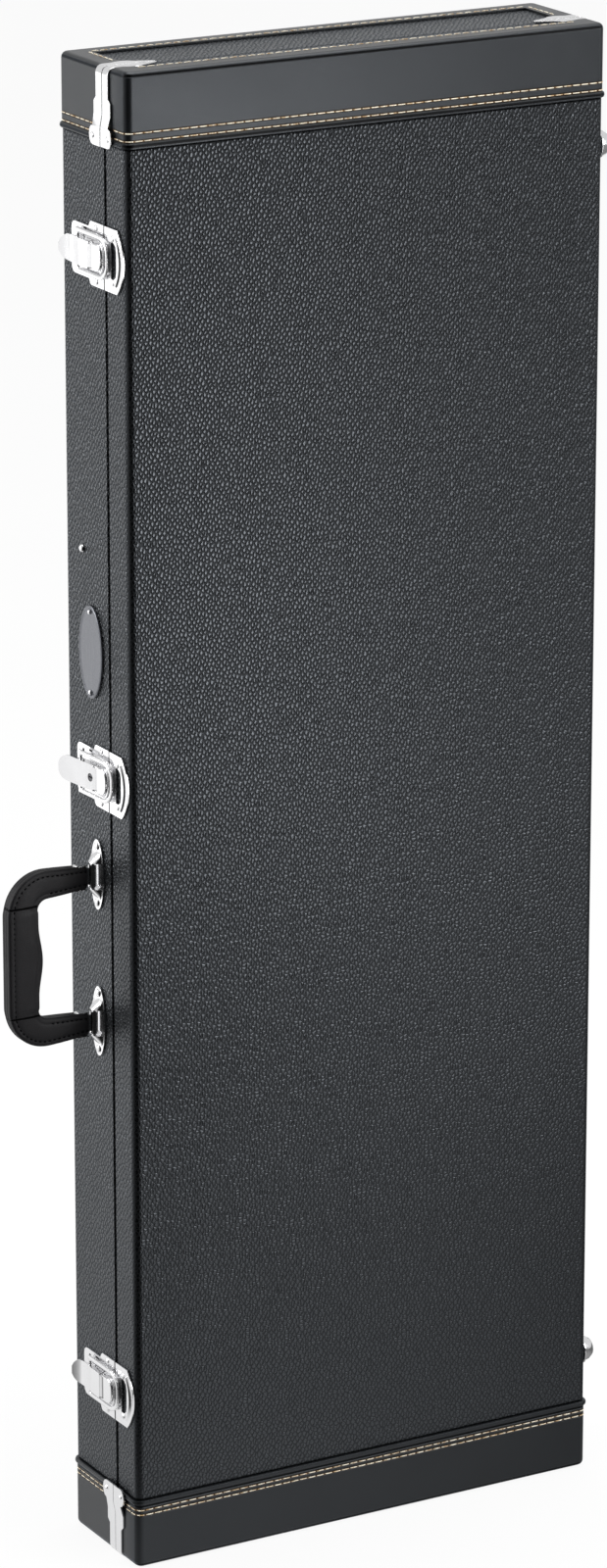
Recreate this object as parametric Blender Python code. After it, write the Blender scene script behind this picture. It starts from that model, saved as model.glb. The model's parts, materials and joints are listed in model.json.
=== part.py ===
"""Hard case for an electric guitar, standing on its body end.

The case is a rectangular box of covered board, split into a base and a lid. X runs across the case,
with the handle and latches on the -X side and the hinges on the +X side. Y runs through its depth, from
the lid's face to the back, and Z runs along its length. Lengths are in metres.
"""

import math

import bmesh
import bpy
from mathutils import Matrix, Vector

MM = 0.001
FLAT_ANGLE = math.radians(0.05)  # faces that lie this flat to each other are one face
SHARP_ANGLE = math.radians(32)  # corners above this are shaded sharp

# Overall sizes of the covered box
CASE_LENGTH = 1050 * MM
CASE_WIDTH = 365 * MM
CASE_DEPTH = 92.4 * MM
SEAM_DEPTH = 29.3 * MM  # from the lid's face to the seam
SEAM_GAP = 0.6 * MM
EDGE_RADIUS = 5 * MM  # long edges of the box
SEAM_EASE = 1.4 * MM  # covering rolled into the seam
EDGE_STEPS = 4  # facets of a long edge
LEAST_RADIUS = 0.5 * MM  # of a long edge that is moved far in

# Clearances
TOUCH = 0.3 * MM  # between pieces that touch
RUN = 0.3 * MM  # between a pin and its bore, all round

# Solids that are joined or cut
CUT_PAST = 5 * MM  # a cut starts this far outside
CUT_MARGIN = 1 * MM  # the same where there is less room
ROOT_LIFT = 0.4 * MM  # a joined solid starts this far above its plate's underside

# Facets of the round pieces
PIN_SIDES = 10
BARREL_SIDES = 16
BRACKET_PIN_SIDES = 12
HOLE_SIDES = 8
RIM_STEPS = 4
CORNER_STEPS = 3
NOSE_STEPS = 4

# Board
SIDE_BOARD = 6 * MM
PANEL_BOARD = 4.5 * MM
END_BOARD = 8 * MM

# Vinyl caps round the two ends
CAP_REACH = 50.6 * MM  # from the end face to the lip's free edge
CAP_PROUD = 0.6 * MM  # above the grained covering
CAP_SHEET = 1.4 * MM
CAP_RIM_RADIUS = 4 * MM
CAP_LIP_PROUD = 2.2 * MM
CAP_LIP_WIDTH = 4.2 * MM
CAP_BORDER = 17 * MM  # vinyl folded onto the end face
CAP_SEAM_EASE = 1.0 * MM  # less than the cap's sheet
# The rolled lip, from its free edge: shares of its width and of how far it stands proud
LIP_PROFILE = ((0.0, 0.45), (0.12, 0.8), (0.42, 1.0), (0.75, 0.85), (1.0, 0.27))
SHELL_RIM_RADIUS = 2.5 * MM
SHELL_STEP = 0.5 * MM  # length of the slope where the covering steps up past the cap

# Clips where the seam meets an end
CLIP_SHEET = 1.2 * MM
CLIP_LENGTH = 53 * MM  # down the side
CLIP_BEND_RADIUS = 5 * MM
CLIP_SINK = 0.1 * MM  # below the cap on the end face
CLIP_SEAT = 0.25 * MM  # between the clip and the notch that it lies in
CLIP_TONGUE = 38 * MM  # across the end face
CLIP_STRIP_HALF = 8 * MM
CLIP_STEP_HALF = 11 * MM
CLIP_EAR_HALF = 14.8 * MM
CLIP_EAR_LENGTH = 13 * MM
CLIP_EAR_TIP_HALF = 10 * MM  # where an ear starts and ends
CLIP_EAR_SHARES = (0.0, 0.06, 0.2, 0.5, 0.8, 0.94, 1.0)  # along an ear
CLIP_RAMP = 8 * MM  # from the lip's level down to the cap's
CLIP_TAPER = 3 * MM  # from the wide strip to the narrow one
CLIP_SHOULDER = 21 * MM  # from the end face to where the strip widens
CLIP_RIVET_RADIUS = 2.2 * MM
CLIP_RIVET_FROM_END = 46.8 * MM
CLIP_RIVET_FROM_SEAM = 10 * MM
# The tongue's outline: shares of its length, and its reach from the seam
CLIP_LOBES = ((0.24, 8.0), (0.34, 9.6), (0.46, 10.2), (0.58, 9.2), (0.66, 6.4), (0.80, 4.4), (0.93, 2.6))
CLIP_POINT = 0.9 * MM  # reach of the tongue's end

# Sheet metal and rivets of the fittings
PLATE_SHEET = 1.2 * MM
RIVET_RADIUS = 2.3 * MM
RIVET_HEIGHT = 1.0 * MM
DOME_PROFILE = ((1.0, 0.0), (0.82, 0.62), (0.42, 1.0))  # shares of a head's radius and height

# Latches. Across the seam, lengths count from the seam towards the back, and from the wall outwards.
LATCH_FROM_BOTTOM = 123 * MM
LATCH_MIDDLE = 564 * MM
LATCH_FROM_TOP = 127 * MM
LATCH_HALF_HEIGHT = 21.5 * MM
LATCH_NARROW_HALF = 17.5 * MM
LATCH_SHOULDER = 18 * MM
LATCH_PLATE_REACH = 45.5 * MM
LATCH_STEP_ROUND = (1.5 * MM, 0.8 * MM)  # past the shoulder, and below the half height
LATCH_STEP_LENGTH = 3.4 * MM
LATCH_CORNER_RADIUS = 4.5 * MM
LATCH_RIVET = (11 * MM, 17.9 * MM)  # along and level
LATCH_HOLE = (36.5 * MM, 13.1 * MM)
LATCH_HOLE_RADIUS = 1.6 * MM
LATCH_SLOT = ((23.5 * MM, 14.6 * MM), (28.5 * MM, 16.0 * MM))  # two opposite corners
CATCH_CORNER = 17.6 * MM  # where the catch plate's arc starts, from the seam
CATCH_REACH = 26.6 * MM
CATCH_ARC_STEPS = 12
CATCH_BEAD_STEPS = 10
CATCH_BEAD_SHARE = 0.86  # of the arc
CATCH_BEAD_FOOT = (3.2 * MM, 6.0 * MM)  # in from the arc, outer and inner edge
CATCH_BEAD_CROWN = (4.0 * MM, 5.2 * MM)
CATCH_BEAD_TURN = 2  # degrees that the crown is shorter by at each end
CATCH_BEAD_HEIGHT = 1.2 * MM
CATCH_RIVET = (-11.9 * MM, 14.8 * MM)
# Upper half of the slot that the hook is pressed from, as distance from the seam and level, in mm
CATCH_SLOT = ((-16.8, 6.5), (-15.9, 10.2), (-13.2, 12.2), (-9.4, 12.2))
LEVER_HALF_WIDTH = 9.2 * MM
LEVER_SHEET = 1.2 * MM
LEVER_PIVOT = (10.6 * MM, 4.1 * MM)
LEVER_BARREL_RADIUS = 2.3 * MM
LEVER_PIN_RADIUS = 1.05 * MM
LEVER_CREASE_HEIGHT = 6.9 * MM
LEVER_PIN_PROUD = 0.2 * MM
LEVER_ROLL = (1 * MM, 0.1 * MM)  # the flat after the barrel: length and rise
LEVER_SHOULDER = (0.2 * MM, 0.1 * MM)  # where it widens: length and rise
# The levers' flats: distance from the seam and rise above the crease
THUMB_FLAT = ((25.7, 0.0), (26.3, -0.5), (33.7, -0.8), (38.5, -1.0))
LOCK_FLAT = ((36.0, 0.0), (42.0, 0.2))
HOUSING_HEIGHT = 6.9 * MM  # round-nosed cover ahead of the lever, whose sides carry the pin
HOUSING_SHEET = 1.1 * MM
HOUSING_CORNER_RADIUS = 7 * MM
HOUSING_WALL = 1.0 * MM
HOUSING_ROUND = 1.0 * MM  # of its top edge
HOUSING_ROUND_POINTS = ((0.0, 1.0), (0.3, 0.3), (1.0, 0.0))  # shares of it, inwards and down
HOUSING_OPEN = 2 * MM  # its hollow goes on behind it by this
HOUSING_LIFT = 0.1 * MM  # of the hollow's floor above the plate
EAR_WALL = 1.0 * MM  # round the pin's hole
EAR_FOOT = 1.2 * MM
EAR_LAP = 1 * MM  # into the housing
EAR_INSET = 0.15 * MM
EAR_TURN = 20  # degrees above the foot where its round starts
LOOP_PIVOT = (32.2 * MM, 3.7 * MM)
LOOP_NOSE = -7.95 * MM  # middle of the bar that goes over the hook
LOOP_BAND = 3.3 * MM
LOOP_THICKNESS = 2.0 * MM
LOOP_HALF_WIDTH = 13.55 * MM  # to the middle of an arm
LOOP_CORNER_RADIUS = 11 * MM
LOOP_PIN_RADIUS = 1.1 * MM
LOOP_PAST_PIN = 2.2 * MM
LOOP_STEPS = 6  # of each corner
# The lever's turned-down sides
FLANGE_SHEET = 1.0 * MM
FLANGE_BELOW_CREASE = 0.5 * MM
FLANGE_LIFT = 0.4 * MM  # above the plate
FLANGE_NEAR_CORNER = (1.2 * MM, 2 * MM)  # cut off its foot: length and height
FLANGE_FAR_CORNER = (1 * MM, 1 * MM)
FLANGE_PAST_LOOP = 2.6 * MM
FLANGE_TOP = ((0.9 * MM, None), (0.7 * MM, 27.0 * MM), (0.0, 25.0 * MM))  # drop and place, from its end
# The levers' thumb tabs: distance from the seam, rise above the flat and half width
THUMB_TAB = ((43.0, -0.4, 8.8), (45.6, 0.9, 7.6), (47.4, 2.0, 5.6), (48.6, 2.9, 2.8))
LOCK_TAB = ((45.0, 0.7, 8.8), (47.6, 1.7, 7.6), (49.4, 2.5, 5.6), (50.4, 3.0, 2.8))
HOOK_SHEET = 1.0 * MM
HOOK_HEIGHT = 5.6 * MM
HOOK_SPREAD = 58  # half of the arc that the hook covers, in degrees
LOCK_TILT = math.radians(6)  # the lock lever stands this much further out
LOCK_ALONG = 16.2 * MM
LOCK_RADIUS = 2.6 * MM
LOCK_DEPTH = 4.4 * MM
LOCK_BOSS_WALL = 1.2 * MM
LOCK_RECESS = 0.3 * MM  # of its face below the lever's
LOCK_BOSS_LEVELS = (0.8 * MM, 0.5 * MM)  # above the core's foot, and below its face
KEYWAY = (1.9 * MM, 0.55 * MM)  # half length and half width
KEYWAY_DEPTH = 3 * MM

# Handle. Its pins stand off the wall in two brackets.
HANDLE_HEIGHT = 441 * MM  # middle of the handle, above the bottom end
HANDLE_SPACING = 105 * MM  # between the brackets
HANDLE_DEPTH = 48 * MM
HANDLE_REACH = 71.5 * MM
HANDLE_PIN_STANDOFF = 5 * MM
HANDLE_PIN_RADIUS = 1.6 * MM
HANDLE_ARM_WIDTH = 17 * MM
HANDLE_GRIP_WIDTH = 23 * MM
HANDLE_GRIP_THICKNESS = 12 * MM
HANDLE_ARM_THICKNESS = 8 * MM
HANDLE_CORNER_RADIUS = 18 * MM  # of its middle line
HANDLE_FINGER_BULGE = 3 * MM
HANDLE_ARM_START = 9.5 * MM  # leather starts this far from the wall
HANDLE_ARM_SHARES = (0.0, 0.12, 0.5, 1.0)  # along an arm
HANDLE_ARM_WIDENS = 0.6  # share of the widening that the arm takes
HANDLE_ARM_THICKENS = 0.75  # share of the thickening, done by the next share of its length
HANDLE_THICK_FROM = 0.7
HANDLE_CORNER_STEPS = 7
HANDLE_BULGE_END = 0.75  # share of half the grip that the bulge takes
HANDLE_GRIP_SHARES = (0.75, 0.5, 0.25)
HANDLE_ROUND = 0.34  # radius of its edges, as a share of its thickness
HANDLE_ROUND_STEPS = 2
EYE_RADIUS = 2.9 * MM
EYE_STRAP = 1.6 * MM
EYE_STRAP_LENGTH = 20 * MM
EYE_STRAP_INSET = 2.5 * MM  # from the arm's edges
EYE_STRAP_LAP = 0.6 * MM  # into the barrel
EYE_INSET = 0.5 * MM  # of the barrel's ends from the arm's edges
BRACKET_HALF_LENGTH = 25 * MM
BRACKET_HALF_WIDTH = 9 * MM
BRACKET_MOUTH_GAP = 0.7 * MM
BRACKET_HUMP_HEIGHT = 7.4 * MM
BRACKET_HUMP_MARGIN = 1 * MM
BRACKET_OVAL_STEPS = 28
BRACKET_ARCH_STEPS = 6
BRACKET_PIN_LAP = 2 * MM  # into each hump
BRACKET_RIVET = 20.6 * MM  # from the middle
BRACKET_RIVET_RADIUS = 2.6 * MM
BRACKET_RIVET_HEIGHT = 2.4 * MM
BRACKET_RIVET_LIFT = 0.2 * MM
BRACKET_RIVET_ROOT = 1 * MM
# A hump's sections: share of its length, half width and share of its height
HUMP_SECTIONS = ((0.0, 6.6, 1.0), (0.24, 6.6, 1.0), (0.50, 6.0, 0.80), (0.72, 4.8, 0.50), (0.92, 2.4, 0.20))

# Badge and stud
BADGE_HEIGHT = 648.5 * MM
BADGE_DEPTH = 54.5 * MM
BADGE_HALF_LENGTH = 32.5 * MM
BADGE_HALF_WIDTH = 16.5 * MM
# The badge's rim and dished face: shares of its half width, and heights
BADGE_PROFILE = ((1.0, 0.0), (1.0, 1.2), (0.95, 1.6), (0.89, 1.5), (0.85, 1.15))
BADGE_STEPS = 24
BADGE_RIVET_INSET = 4 * MM  # from its ends
BADGE_RIVET_RADIUS = 2.2 * MM
BADGE_RIVET_HEIGHT = 1.1 * MM
BADGE_RIVET_FOOT = 1.2 * MM  # above the badge's underside
BADGE_RIVET_ROOT = 0.6 * MM
STUD_HEIGHT = 717.8 * MM
STUD_DEPTH = 66.5 * MM
STUD_RADIUS = 2.8 * MM
STUD_DOME = 1.6 * MM
STUD_ROOT = 0.5 * MM
STUD_SIDES = 12

# Hinges, on the side away from the handle
HINGE_FROM_END = 150 * MM
HINGE_HALF_HEIGHT = 26 * MM
HINGE_LEAF = 18 * MM
HINGE_BARREL_RADIUS = 3.2 * MM
HINGE_PIN_RADIUS = 1.6 * MM
HINGE_KNUCKLES = 3
HINGE_BARREL_SIDES = 12
KNUCKLE_GAP = 0.5 * MM
HINGE_LEAF_GAP = 0.5 * MM  # between a leaf and the barrel
HINGE_CORNER_RADIUS = 3 * MM
HINGE_TAB_NEAR = 0.4 * MM  # a knuckle's tab: where it starts, from the axis
HINGE_TAB_LAP = 0.8 * MM  # into the leaf
HINGE_RIVET = 11.5 * MM
HINGE_RIVET_SHARES = (-0.72, 0.0, 0.72)  # of half the leaf's height
HINGE_PIN_INSET = 0.2 * MM

# Feet
FOOT_FROM_END = 85 * MM
FOOT_RADIUS = 11 * MM
FOOT_HEIGHT = 12 * MM
FOOT_FROM_SEAM = 15.8 * MM
FOOT_FROM_BACK = 18 * MM
FOOT_SIDES = 16
# The foot's turned profile: shares of its radius and of its height
FOOT_PROFILE = ((0.86, 0.0), (1.0, 0.08), (0.98, 0.2), (0.86, 0.3), (0.8, 0.56), (0.6, 0.84), (0.28, 1.0))

# Lining
LINER_BELOW_RIM = 2 * MM
LINER_FLOOR = 12 * MM
LOWER_BOUT_WALL = 13 * MM  # foam left beside the cavity's widest place
UPPER_BOUT_WALL = 24 * MM
WAIST_WALL = 36 * MM
# The body cavity's half outline, as shares of a bout's half width and of the length
LOWER_BOUT = ((0.30, 0.0), (0.72, 0.035), (0.96, 0.15), (1.0, 0.30))
WAIST_AT = 0.60
UPPER_BOUT = ((1.0, 0.84), (0.80, 0.96), (0.50, 0.985))
OUTLINE_STEPS = 4  # between two points of it
BODY_CAVITY_START = 20 * MM  # from the inside of the bottom end
BODY_CAVITY_LENGTH = 420 * MM
NECK_HALF_WIDTH = 36 * MM
HEAD_HALF_WIDTH = 68 * MM
HEAD_CAVITY_LENGTH = 225 * MM
HEAD_SHOULDERS = ((6 * MM, 0.14), (0.0, 0.32))  # in from its half width, and share of its length
HEAD_CORNER_RADIUS = 20 * MM
HEAD_CAVITY_END = 16 * MM  # from the inside of the top end
CRADLE_BELOW_HEAD = 60 * MM
CRADLE_LENGTH = 40 * MM
CRADLE_HEIGHT = 26 * MM
CRADLE_NOTCH_HALF = 25 * MM
CRADLE_NOTCH_SINK = 0.55  # depth of the notch, as a share of its half width
CRADLE_NOTCH_STEPS = 8
LID_PAD = 8 * MM
LID_LINER_WALL = 3 * MM
BOX_WALL = 2.5 * MM
BOX_LENGTH = 250 * MM
BOX_ABOVE_BODY = 40 * MM
BOX_FROM_NECK = 14 * MM
BOX_FROM_SIDE = 16 * MM
BOX_DEPTH = 42 * MM
FLAP_SHEET = 3 * MM
FLAP_GAP = 0.6 * MM
FLAP_OVERLAP = 5 * MM
TAB_HALF_WIDTH = 8 * MM
TAB_LENGTH = 22 * MM
TAB_SHEET = 1.0 * MM
TAB_FROM_EDGE = 6 * MM

# Values worked out from the sizes above
HALF_WIDTH = CASE_WIDTH / 2
BASE_DEPTH = CASE_DEPTH - SEAM_DEPTH - SEAM_GAP / 2
LID_DEPTH = SEAM_DEPTH - SEAM_GAP / 2
CAP_REBATE = CAP_SHEET + TOUCH - CAP_PROUD
SHELL_END = CAP_SHEET + TOUCH
LATCH_HEIGHTS = (CASE_LENGTH - LATCH_FROM_TOP, LATCH_MIDDLE, LATCH_FROM_BOTTOM)
HINGE_HEIGHTS = (CASE_LENGTH - HINGE_FROM_END, CASE_LENGTH / 2, HINGE_FROM_END)
FOOT_HEIGHTS = (CASE_LENGTH - FOOT_FROM_END, FOOT_FROM_END)
PLATE_TOP = TOUCH + PLATE_SHEET
HINGE_AXIS_STANDOFF = CAP_LIP_PROUD + CLIP_SHEET + 2 * TOUCH  # clear of the clips as the lid swings
LINER_HALF_WIDTH = HALF_WIDTH - SIDE_BOARD - TOUCH
LINER_BOTTOM = END_BOARD + TOUCH
LINER_TOP = CASE_LENGTH - END_BOARD - TOUCH
LINER_BACK = BASE_DEPTH - PANEL_BOARD - TOUCH
CAVITY_BACK = LINER_BACK - LINER_FLOOR
NECK_START = LINER_BOTTOM + BODY_CAVITY_START + BODY_CAVITY_LENGTH
HEAD_END = LINER_TOP - HEAD_CAVITY_END
HEAD_START = HEAD_END - HEAD_CAVITY_LENGTH
BOX_LOW = NECK_START + BOX_ABOVE_BODY
BOX_HIGH = BOX_LOW + BOX_LENGTH
BOX_NEAR = NECK_HALF_WIDTH + BOX_FROM_NECK
BOX_FAR = LINER_HALF_WIDTH - BOX_FROM_SIDE
CASE_OUTWARD_LEFT = HANDLE_REACH
CASE_OUTWARD_RIGHT = FOOT_HEIGHT + TOUCH
ORIGIN_SHIFT = Vector(((CASE_OUTWARD_LEFT - CASE_OUTWARD_RIGHT) / 2, -CASE_DEPTH / 2, 0))

# Base colour, roughness and metallic value of each material
FINISHES = {
    "grained_vinyl": ((0.022, 0.023, 0.025), 0.48, 0.0),
    "smooth_vinyl": ((0.045, 0.047, 0.052), 0.42, 0.0),
    "nickel": ((0.80, 0.80, 0.81), 0.16, 1.0),
    "dark_steel": ((0.10, 0.10, 0.11), 0.35, 1.0),
    "badge_enamel": ((0.07, 0.075, 0.085), 0.30, 0.4),
    "handle_leather": ((0.020, 0.020, 0.023), 0.50, 0.0),
    "plush": ((0.014, 0.014, 0.016), 0.95, 0.0),
    "ribbon": ((0.03, 0.03, 0.035), 0.60, 0.0),
    "board": ((0.05, 0.045, 0.04), 0.80, 0.0),
}


class Half:
    """One half of the box. Its depth counts from the seam to its own outer face."""

    def __init__(self, name, sign, depth):
        self.name = name
        self.sign = sign
        self.depth = depth

    def y(self, out):
        """Y of a point that lies this far from the half's edge at the seam, towards its outer face."""
        return SEAM_DEPTH + self.sign * (SEAM_GAP / 2 + out)


BASE = Half("base", 1, BASE_DEPTH)
LID = Half("lid", -1, LID_DEPTH)


def clear_scene():
    for old in list(bpy.data.objects):
        bpy.data.objects.remove(old, do_unlink=True)


def make_materials():
    made = {}
    for name, (colour, roughness, metallic) in FINISHES.items():
        material = bpy.data.materials.new(name)
        material.use_nodes = True
        shader = material.node_tree.nodes["Principled BSDF"]
        shader.inputs["Base Color"].default_value = (*colour, 1)
        shader.inputs["Roughness"].default_value = roughness
        shader.inputs["Metallic"].default_value = metallic
        material.diffuse_color = (*colour, 1)
        made[name] = material
    return made


def arc(centre, radius, start, end, steps):
    """Points on an arc, angles in degrees."""
    points = []
    for step in range(steps + 1):
        angle = math.radians(start + (end - start) * step / steps)
        points.append((centre[0] + radius * math.cos(angle), centre[1] + radius * math.sin(angle)))
    return points


def turned(point, pivot, angle):
    """A point of a plane turned about a pivot."""
    along, up = point[0] - pivot[0], point[1] - pivot[1]
    cosine, sine = math.cos(angle), math.sin(angle)
    return (pivot[0] + along * cosine - up * sine, pivot[1] + along * sine + up * cosine)


def loft(rings, closed=False):
    """A solid through rings of equally many points, capped at both ends or closed on itself."""
    mesh = bmesh.new()
    rows = [[mesh.verts.new(point) for point in ring] for ring in rings]
    count = len(rings[0])
    last = len(rows) if closed else len(rows) - 1
    for index in range(last):
        low, high = rows[index], rows[(index + 1) % len(rows)]
        for corner in range(count):
            after = (corner + 1) % count
            mesh.faces.new((low[corner], low[after], high[after], high[corner]))
    if not closed:
        mesh.faces.new(rows[0])
        mesh.faces.new(rows[-1])
    bmesh.ops.recalc_face_normals(mesh, faces=mesh.faces)
    bmesh.ops.dissolve_limit(mesh, angle_limit=FLAT_ANGLE, verts=mesh.verts, edges=mesh.edges)
    return mesh


def box(low, high):
    """A block between two corners."""
    (x0, y0, z0), (x1, y1, z1) = low, high
    ring = ((x0, y0), (x1, y0), (x1, y1), (x0, y1))
    return loft([[(x, y, z) for x, y in ring] for z in (z0, z1)])


def prism(outline, place, low, high):
    """An outline of a plane pushed between two levels. place(u, v, level) gives the point in space."""
    return loft([[place(u, v, level) for u, v in outline] for level in (low, high)])


def round_bar(start, end, radius, sides):
    """A cylinder between two points, or a cone when radius is a pair."""
    start, end = Vector(start), Vector(end)
    radii = radius if isinstance(radius, tuple) else (radius, radius)
    along = (end - start).normalized()
    across = along.orthogonal().normalized()
    other = along.cross(across)
    rings = []
    for point, size in zip((start, end), radii):
        angles = [2 * math.pi * side / sides for side in range(sides)]
        rings.append([point + size * (math.cos(a) * across + math.sin(a) * other) for a in angles])
    return loft(rings)


def dome(foot, outward, radius, height, root, sides=8):
    """A rivet head: its rim at foot, rounded above it, with a root that goes into its plate."""
    foot, outward = Vector(foot), Vector(outward).normalized()
    across = outward.orthogonal().normalized()
    other = outward.cross(across)
    levels = [(1.0, -root)] + [(share, rise * height) for share, rise in DOME_PROFILE]
    angles = [2 * math.pi * side / sides for side in range(sides)]
    spokes = [radius * (math.cos(a) * across + math.sin(a) * other) for a in angles]
    return loft([[foot + level * outward + share * spoke for spoke in spokes] for share, level in levels])


def piece(name, mesh, material, origin=(0, 0, 0)):
    """An object whose own origin lies at a point of the case. A moving piece has it on its joint's axis."""
    bmesh.ops.translate(mesh, verts=mesh.verts, vec=-Vector(origin))
    data = bpy.data.meshes.new(name)
    mesh.to_mesh(data)
    mesh.free()
    if material:
        data.materials.append(MATERIALS[material])
    made = bpy.data.objects.new(name, data)
    bpy.context.scene.collection.objects.link(made)
    made.location = origin
    return made


def combine(body, operation, *meshes):
    """Joins solids to a piece or cuts them out of it. The solids are given in the case's own places."""
    tools = []
    for mesh in meshes:
        tool = piece("tool", mesh, None)
        modifier = body.modifiers.new(operation.lower(), "BOOLEAN")
        modifier.operation = operation
        modifier.solver = "EXACT"
        modifier.object = tool
        tools.append(tool)
    view = bpy.context.evaluated_depsgraph_get()
    result = bpy.data.meshes.new_from_object(body.evaluated_get(view))
    body.modifiers.clear()
    body.data = result
    for tool in tools:
        bpy.data.objects.remove(tool, do_unlink=True)


def finish(made, half=None):
    """Shades a piece smooth with sharp corners and hangs it on the case, or on the lid's hinge line."""
    made.data.shade_smooth()
    made.data.set_sharp_from_angle(angle=SHARP_ANGLE)
    if half is LID:
        made.location -= HINGE_LINE.location
        made.parent = HINGE_LINE
    else:
        made.parent = ORIGIN
    return made


def half_outline(half, inset=0.0, start=0.0, ease=SEAM_EASE):
    """The half's outline across the case, as (x, out) points, moved in from its outer faces by inset."""
    wide = HALF_WIDTH - inset
    reach = half.depth - inset
    radius = max(EDGE_RADIUS - inset, LEAST_RADIUS)
    corner = (wide - radius, reach - radius)
    outline = [(-wide + ease, start), (-wide, start + ease)]
    outline += arc((-corner[0], corner[1]), radius, 180, 90, EDGE_STEPS)
    outline += arc(corner, radius, 90, 0, EDGE_STEPS)
    outline += [(wide, start + ease), (wide - ease, start)]
    return outline


def half_rings(half, levels, start=0.0, ease=SEAM_EASE):
    """Rings across the case at (height, inset) levels."""
    rings = []
    for height, inset in levels:
        outline = half_outline(half, inset, start, ease)
        rings.append([Vector((x, half.y(out), height)) for x, out in outline])
    return rings


def half_box(half, x_range, out_range, z_range):
    """A block given by how far its faces lie from the half's edge at the seam."""
    ys = [half.y(out) for out in out_range]
    return box((x_range[0], min(ys), z_range[0]), (x_range[1], max(ys), z_range[1]))


def rim_levels(radius, inset, end):
    """(distance from the end face, inset) pairs round a rim, from the end face to the side."""
    return [
        (end + radius * (1 - math.cos(angle)), inset + radius * (1 - math.sin(angle)))
        for angle in (math.radians(90 * step / RIM_STEPS) for step in range(RIM_STEPS + 1))
    ]


def make_shell(half):
    """Five boards covered with grained vinyl. Under the caps they are a little slimmer."""
    end = rim_levels(SHELL_RIM_RADIUS, CAP_REBATE, SHELL_END)
    end += [(CAP_REACH + TOUCH, CAP_REBATE), (CAP_REACH + TOUCH + SHELL_STEP, 0.0)]
    levels = end + [(CASE_LENGTH - height, inset) for height, inset in reversed(end)]
    shell = piece(half.name + "_shell", loft(half_rings(half, levels)), "grained_vinyl")
    inside = half_box(
        half,
        (-HALF_WIDTH + SIDE_BOARD, HALF_WIDTH - SIDE_BOARD),
        (-CUT_PAST, half.depth - PANEL_BOARD),
        (END_BOARD, CASE_LENGTH - END_BOARD),
    )
    combine(shell, "DIFFERENCE", inside)
    return finish(shell, half)


def from_end(top, distance):
    """Height of a point this far from the top or bottom end face."""
    return CASE_LENGTH - distance if top else distance


def clip_stations(grow=0.0):
    """The clip's strip from its ears, over the cap's lip, round the rim and across the end face.

    Each station is the middle line's (outward, from end) point, its outward normal and its reach from
    the seam. grow makes the strip wider on its free side, for the place that it sinks into.
    """
    low = CAP_PROUD + TOUCH + CLIP_SHEET / 2
    high = CAP_LIP_PROUD + TOUCH + CLIP_SHEET / 2
    step = CLIP_STEP_HALF
    ear_end = CLIP_LENGTH - CLIP_EAR_LENGTH
    stations = []
    for share in CLIP_EAR_SHARES:
        bow = 2 * abs(share - 0.5)
        reach = CLIP_EAR_TIP_HALF + (CLIP_EAR_HALF - CLIP_EAR_TIP_HALF) * math.sqrt(max(1 - bow**2, 0))
        stations.append(((high, CLIP_LENGTH - share * CLIP_EAR_LENGTH), (1, 0), reach + grow))
    stations.append(((low, ear_end - CLIP_RAMP), (1, 0), step + grow))
    stations.append(((low, CLIP_SHOULDER + CLIP_TAPER), (1, 0), step + grow))
    stations.append(((low, CLIP_SHOULDER), (1, 0), CLIP_STRIP_HALF + grow))
    bend = CLIP_BEND_RADIUS - CLIP_SHEET / 2
    centre = (low - bend, CLIP_SINK + CLIP_BEND_RADIUS)
    for turn in range(RIM_STEPS + 1):
        angle = math.radians(90 * turn / RIM_STEPS)
        normal = (math.cos(angle), -math.sin(angle))
        point = (centre[0] + bend * normal[0], centre[1] + bend * normal[1])
        stations.append((point, normal, CLIP_STRIP_HALF + grow))
    lobes = [(share, reach * MM) for share, reach in CLIP_LOBES] + [(1.0, CLIP_POINT)]
    for share, reach in lobes:
        stations.append(((-share * CLIP_TONGUE, CLIP_SINK + CLIP_SHEET / 2), (0, -1), reach + grow))
    return stations


def clip_strip(half, side, top, low, high, start, grow=0.0):
    """The clip's strip as a solid between two offsets from its middle line."""
    rings = []
    for (outward, distance), normal, reach in clip_stations(grow):
        ring = []
        for offset, out in ((low, start), (high, start), (high, reach), (low, reach)):
            x = side * (HALF_WIDTH + outward + offset * normal[0])
            z = from_end(top, distance + offset * normal[1])
            ring.append(Vector((x, half.y(out), z)))
        rings.append(ring)
    return loft(rings)


def make_clip(half, side, top):
    """A nickel clip half: ears on the side, a strip round the rim and a pointed tongue on the end face."""
    name = f"{half.name}_clip_{'top' if top else 'bottom'}_{'left' if side < 0 else 'right'}"
    clip = piece(name, clip_strip(half, side, top, -CLIP_SHEET / 2, CLIP_SHEET / 2, 0.0), "nickel")
    face = side * (HALF_WIDTH + CAP_LIP_PROUD + TOUCH + CLIP_SHEET)
    foot = (face, half.y(CLIP_RIVET_FROM_SEAM), from_end(top, CLIP_RIVET_FROM_END))
    combine(clip, "UNION", dome(foot, (side, 0, 0), CLIP_RIVET_RADIUS, RIVET_HEIGHT, CLIP_SHEET / 2))
    return finish(clip, half)


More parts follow.
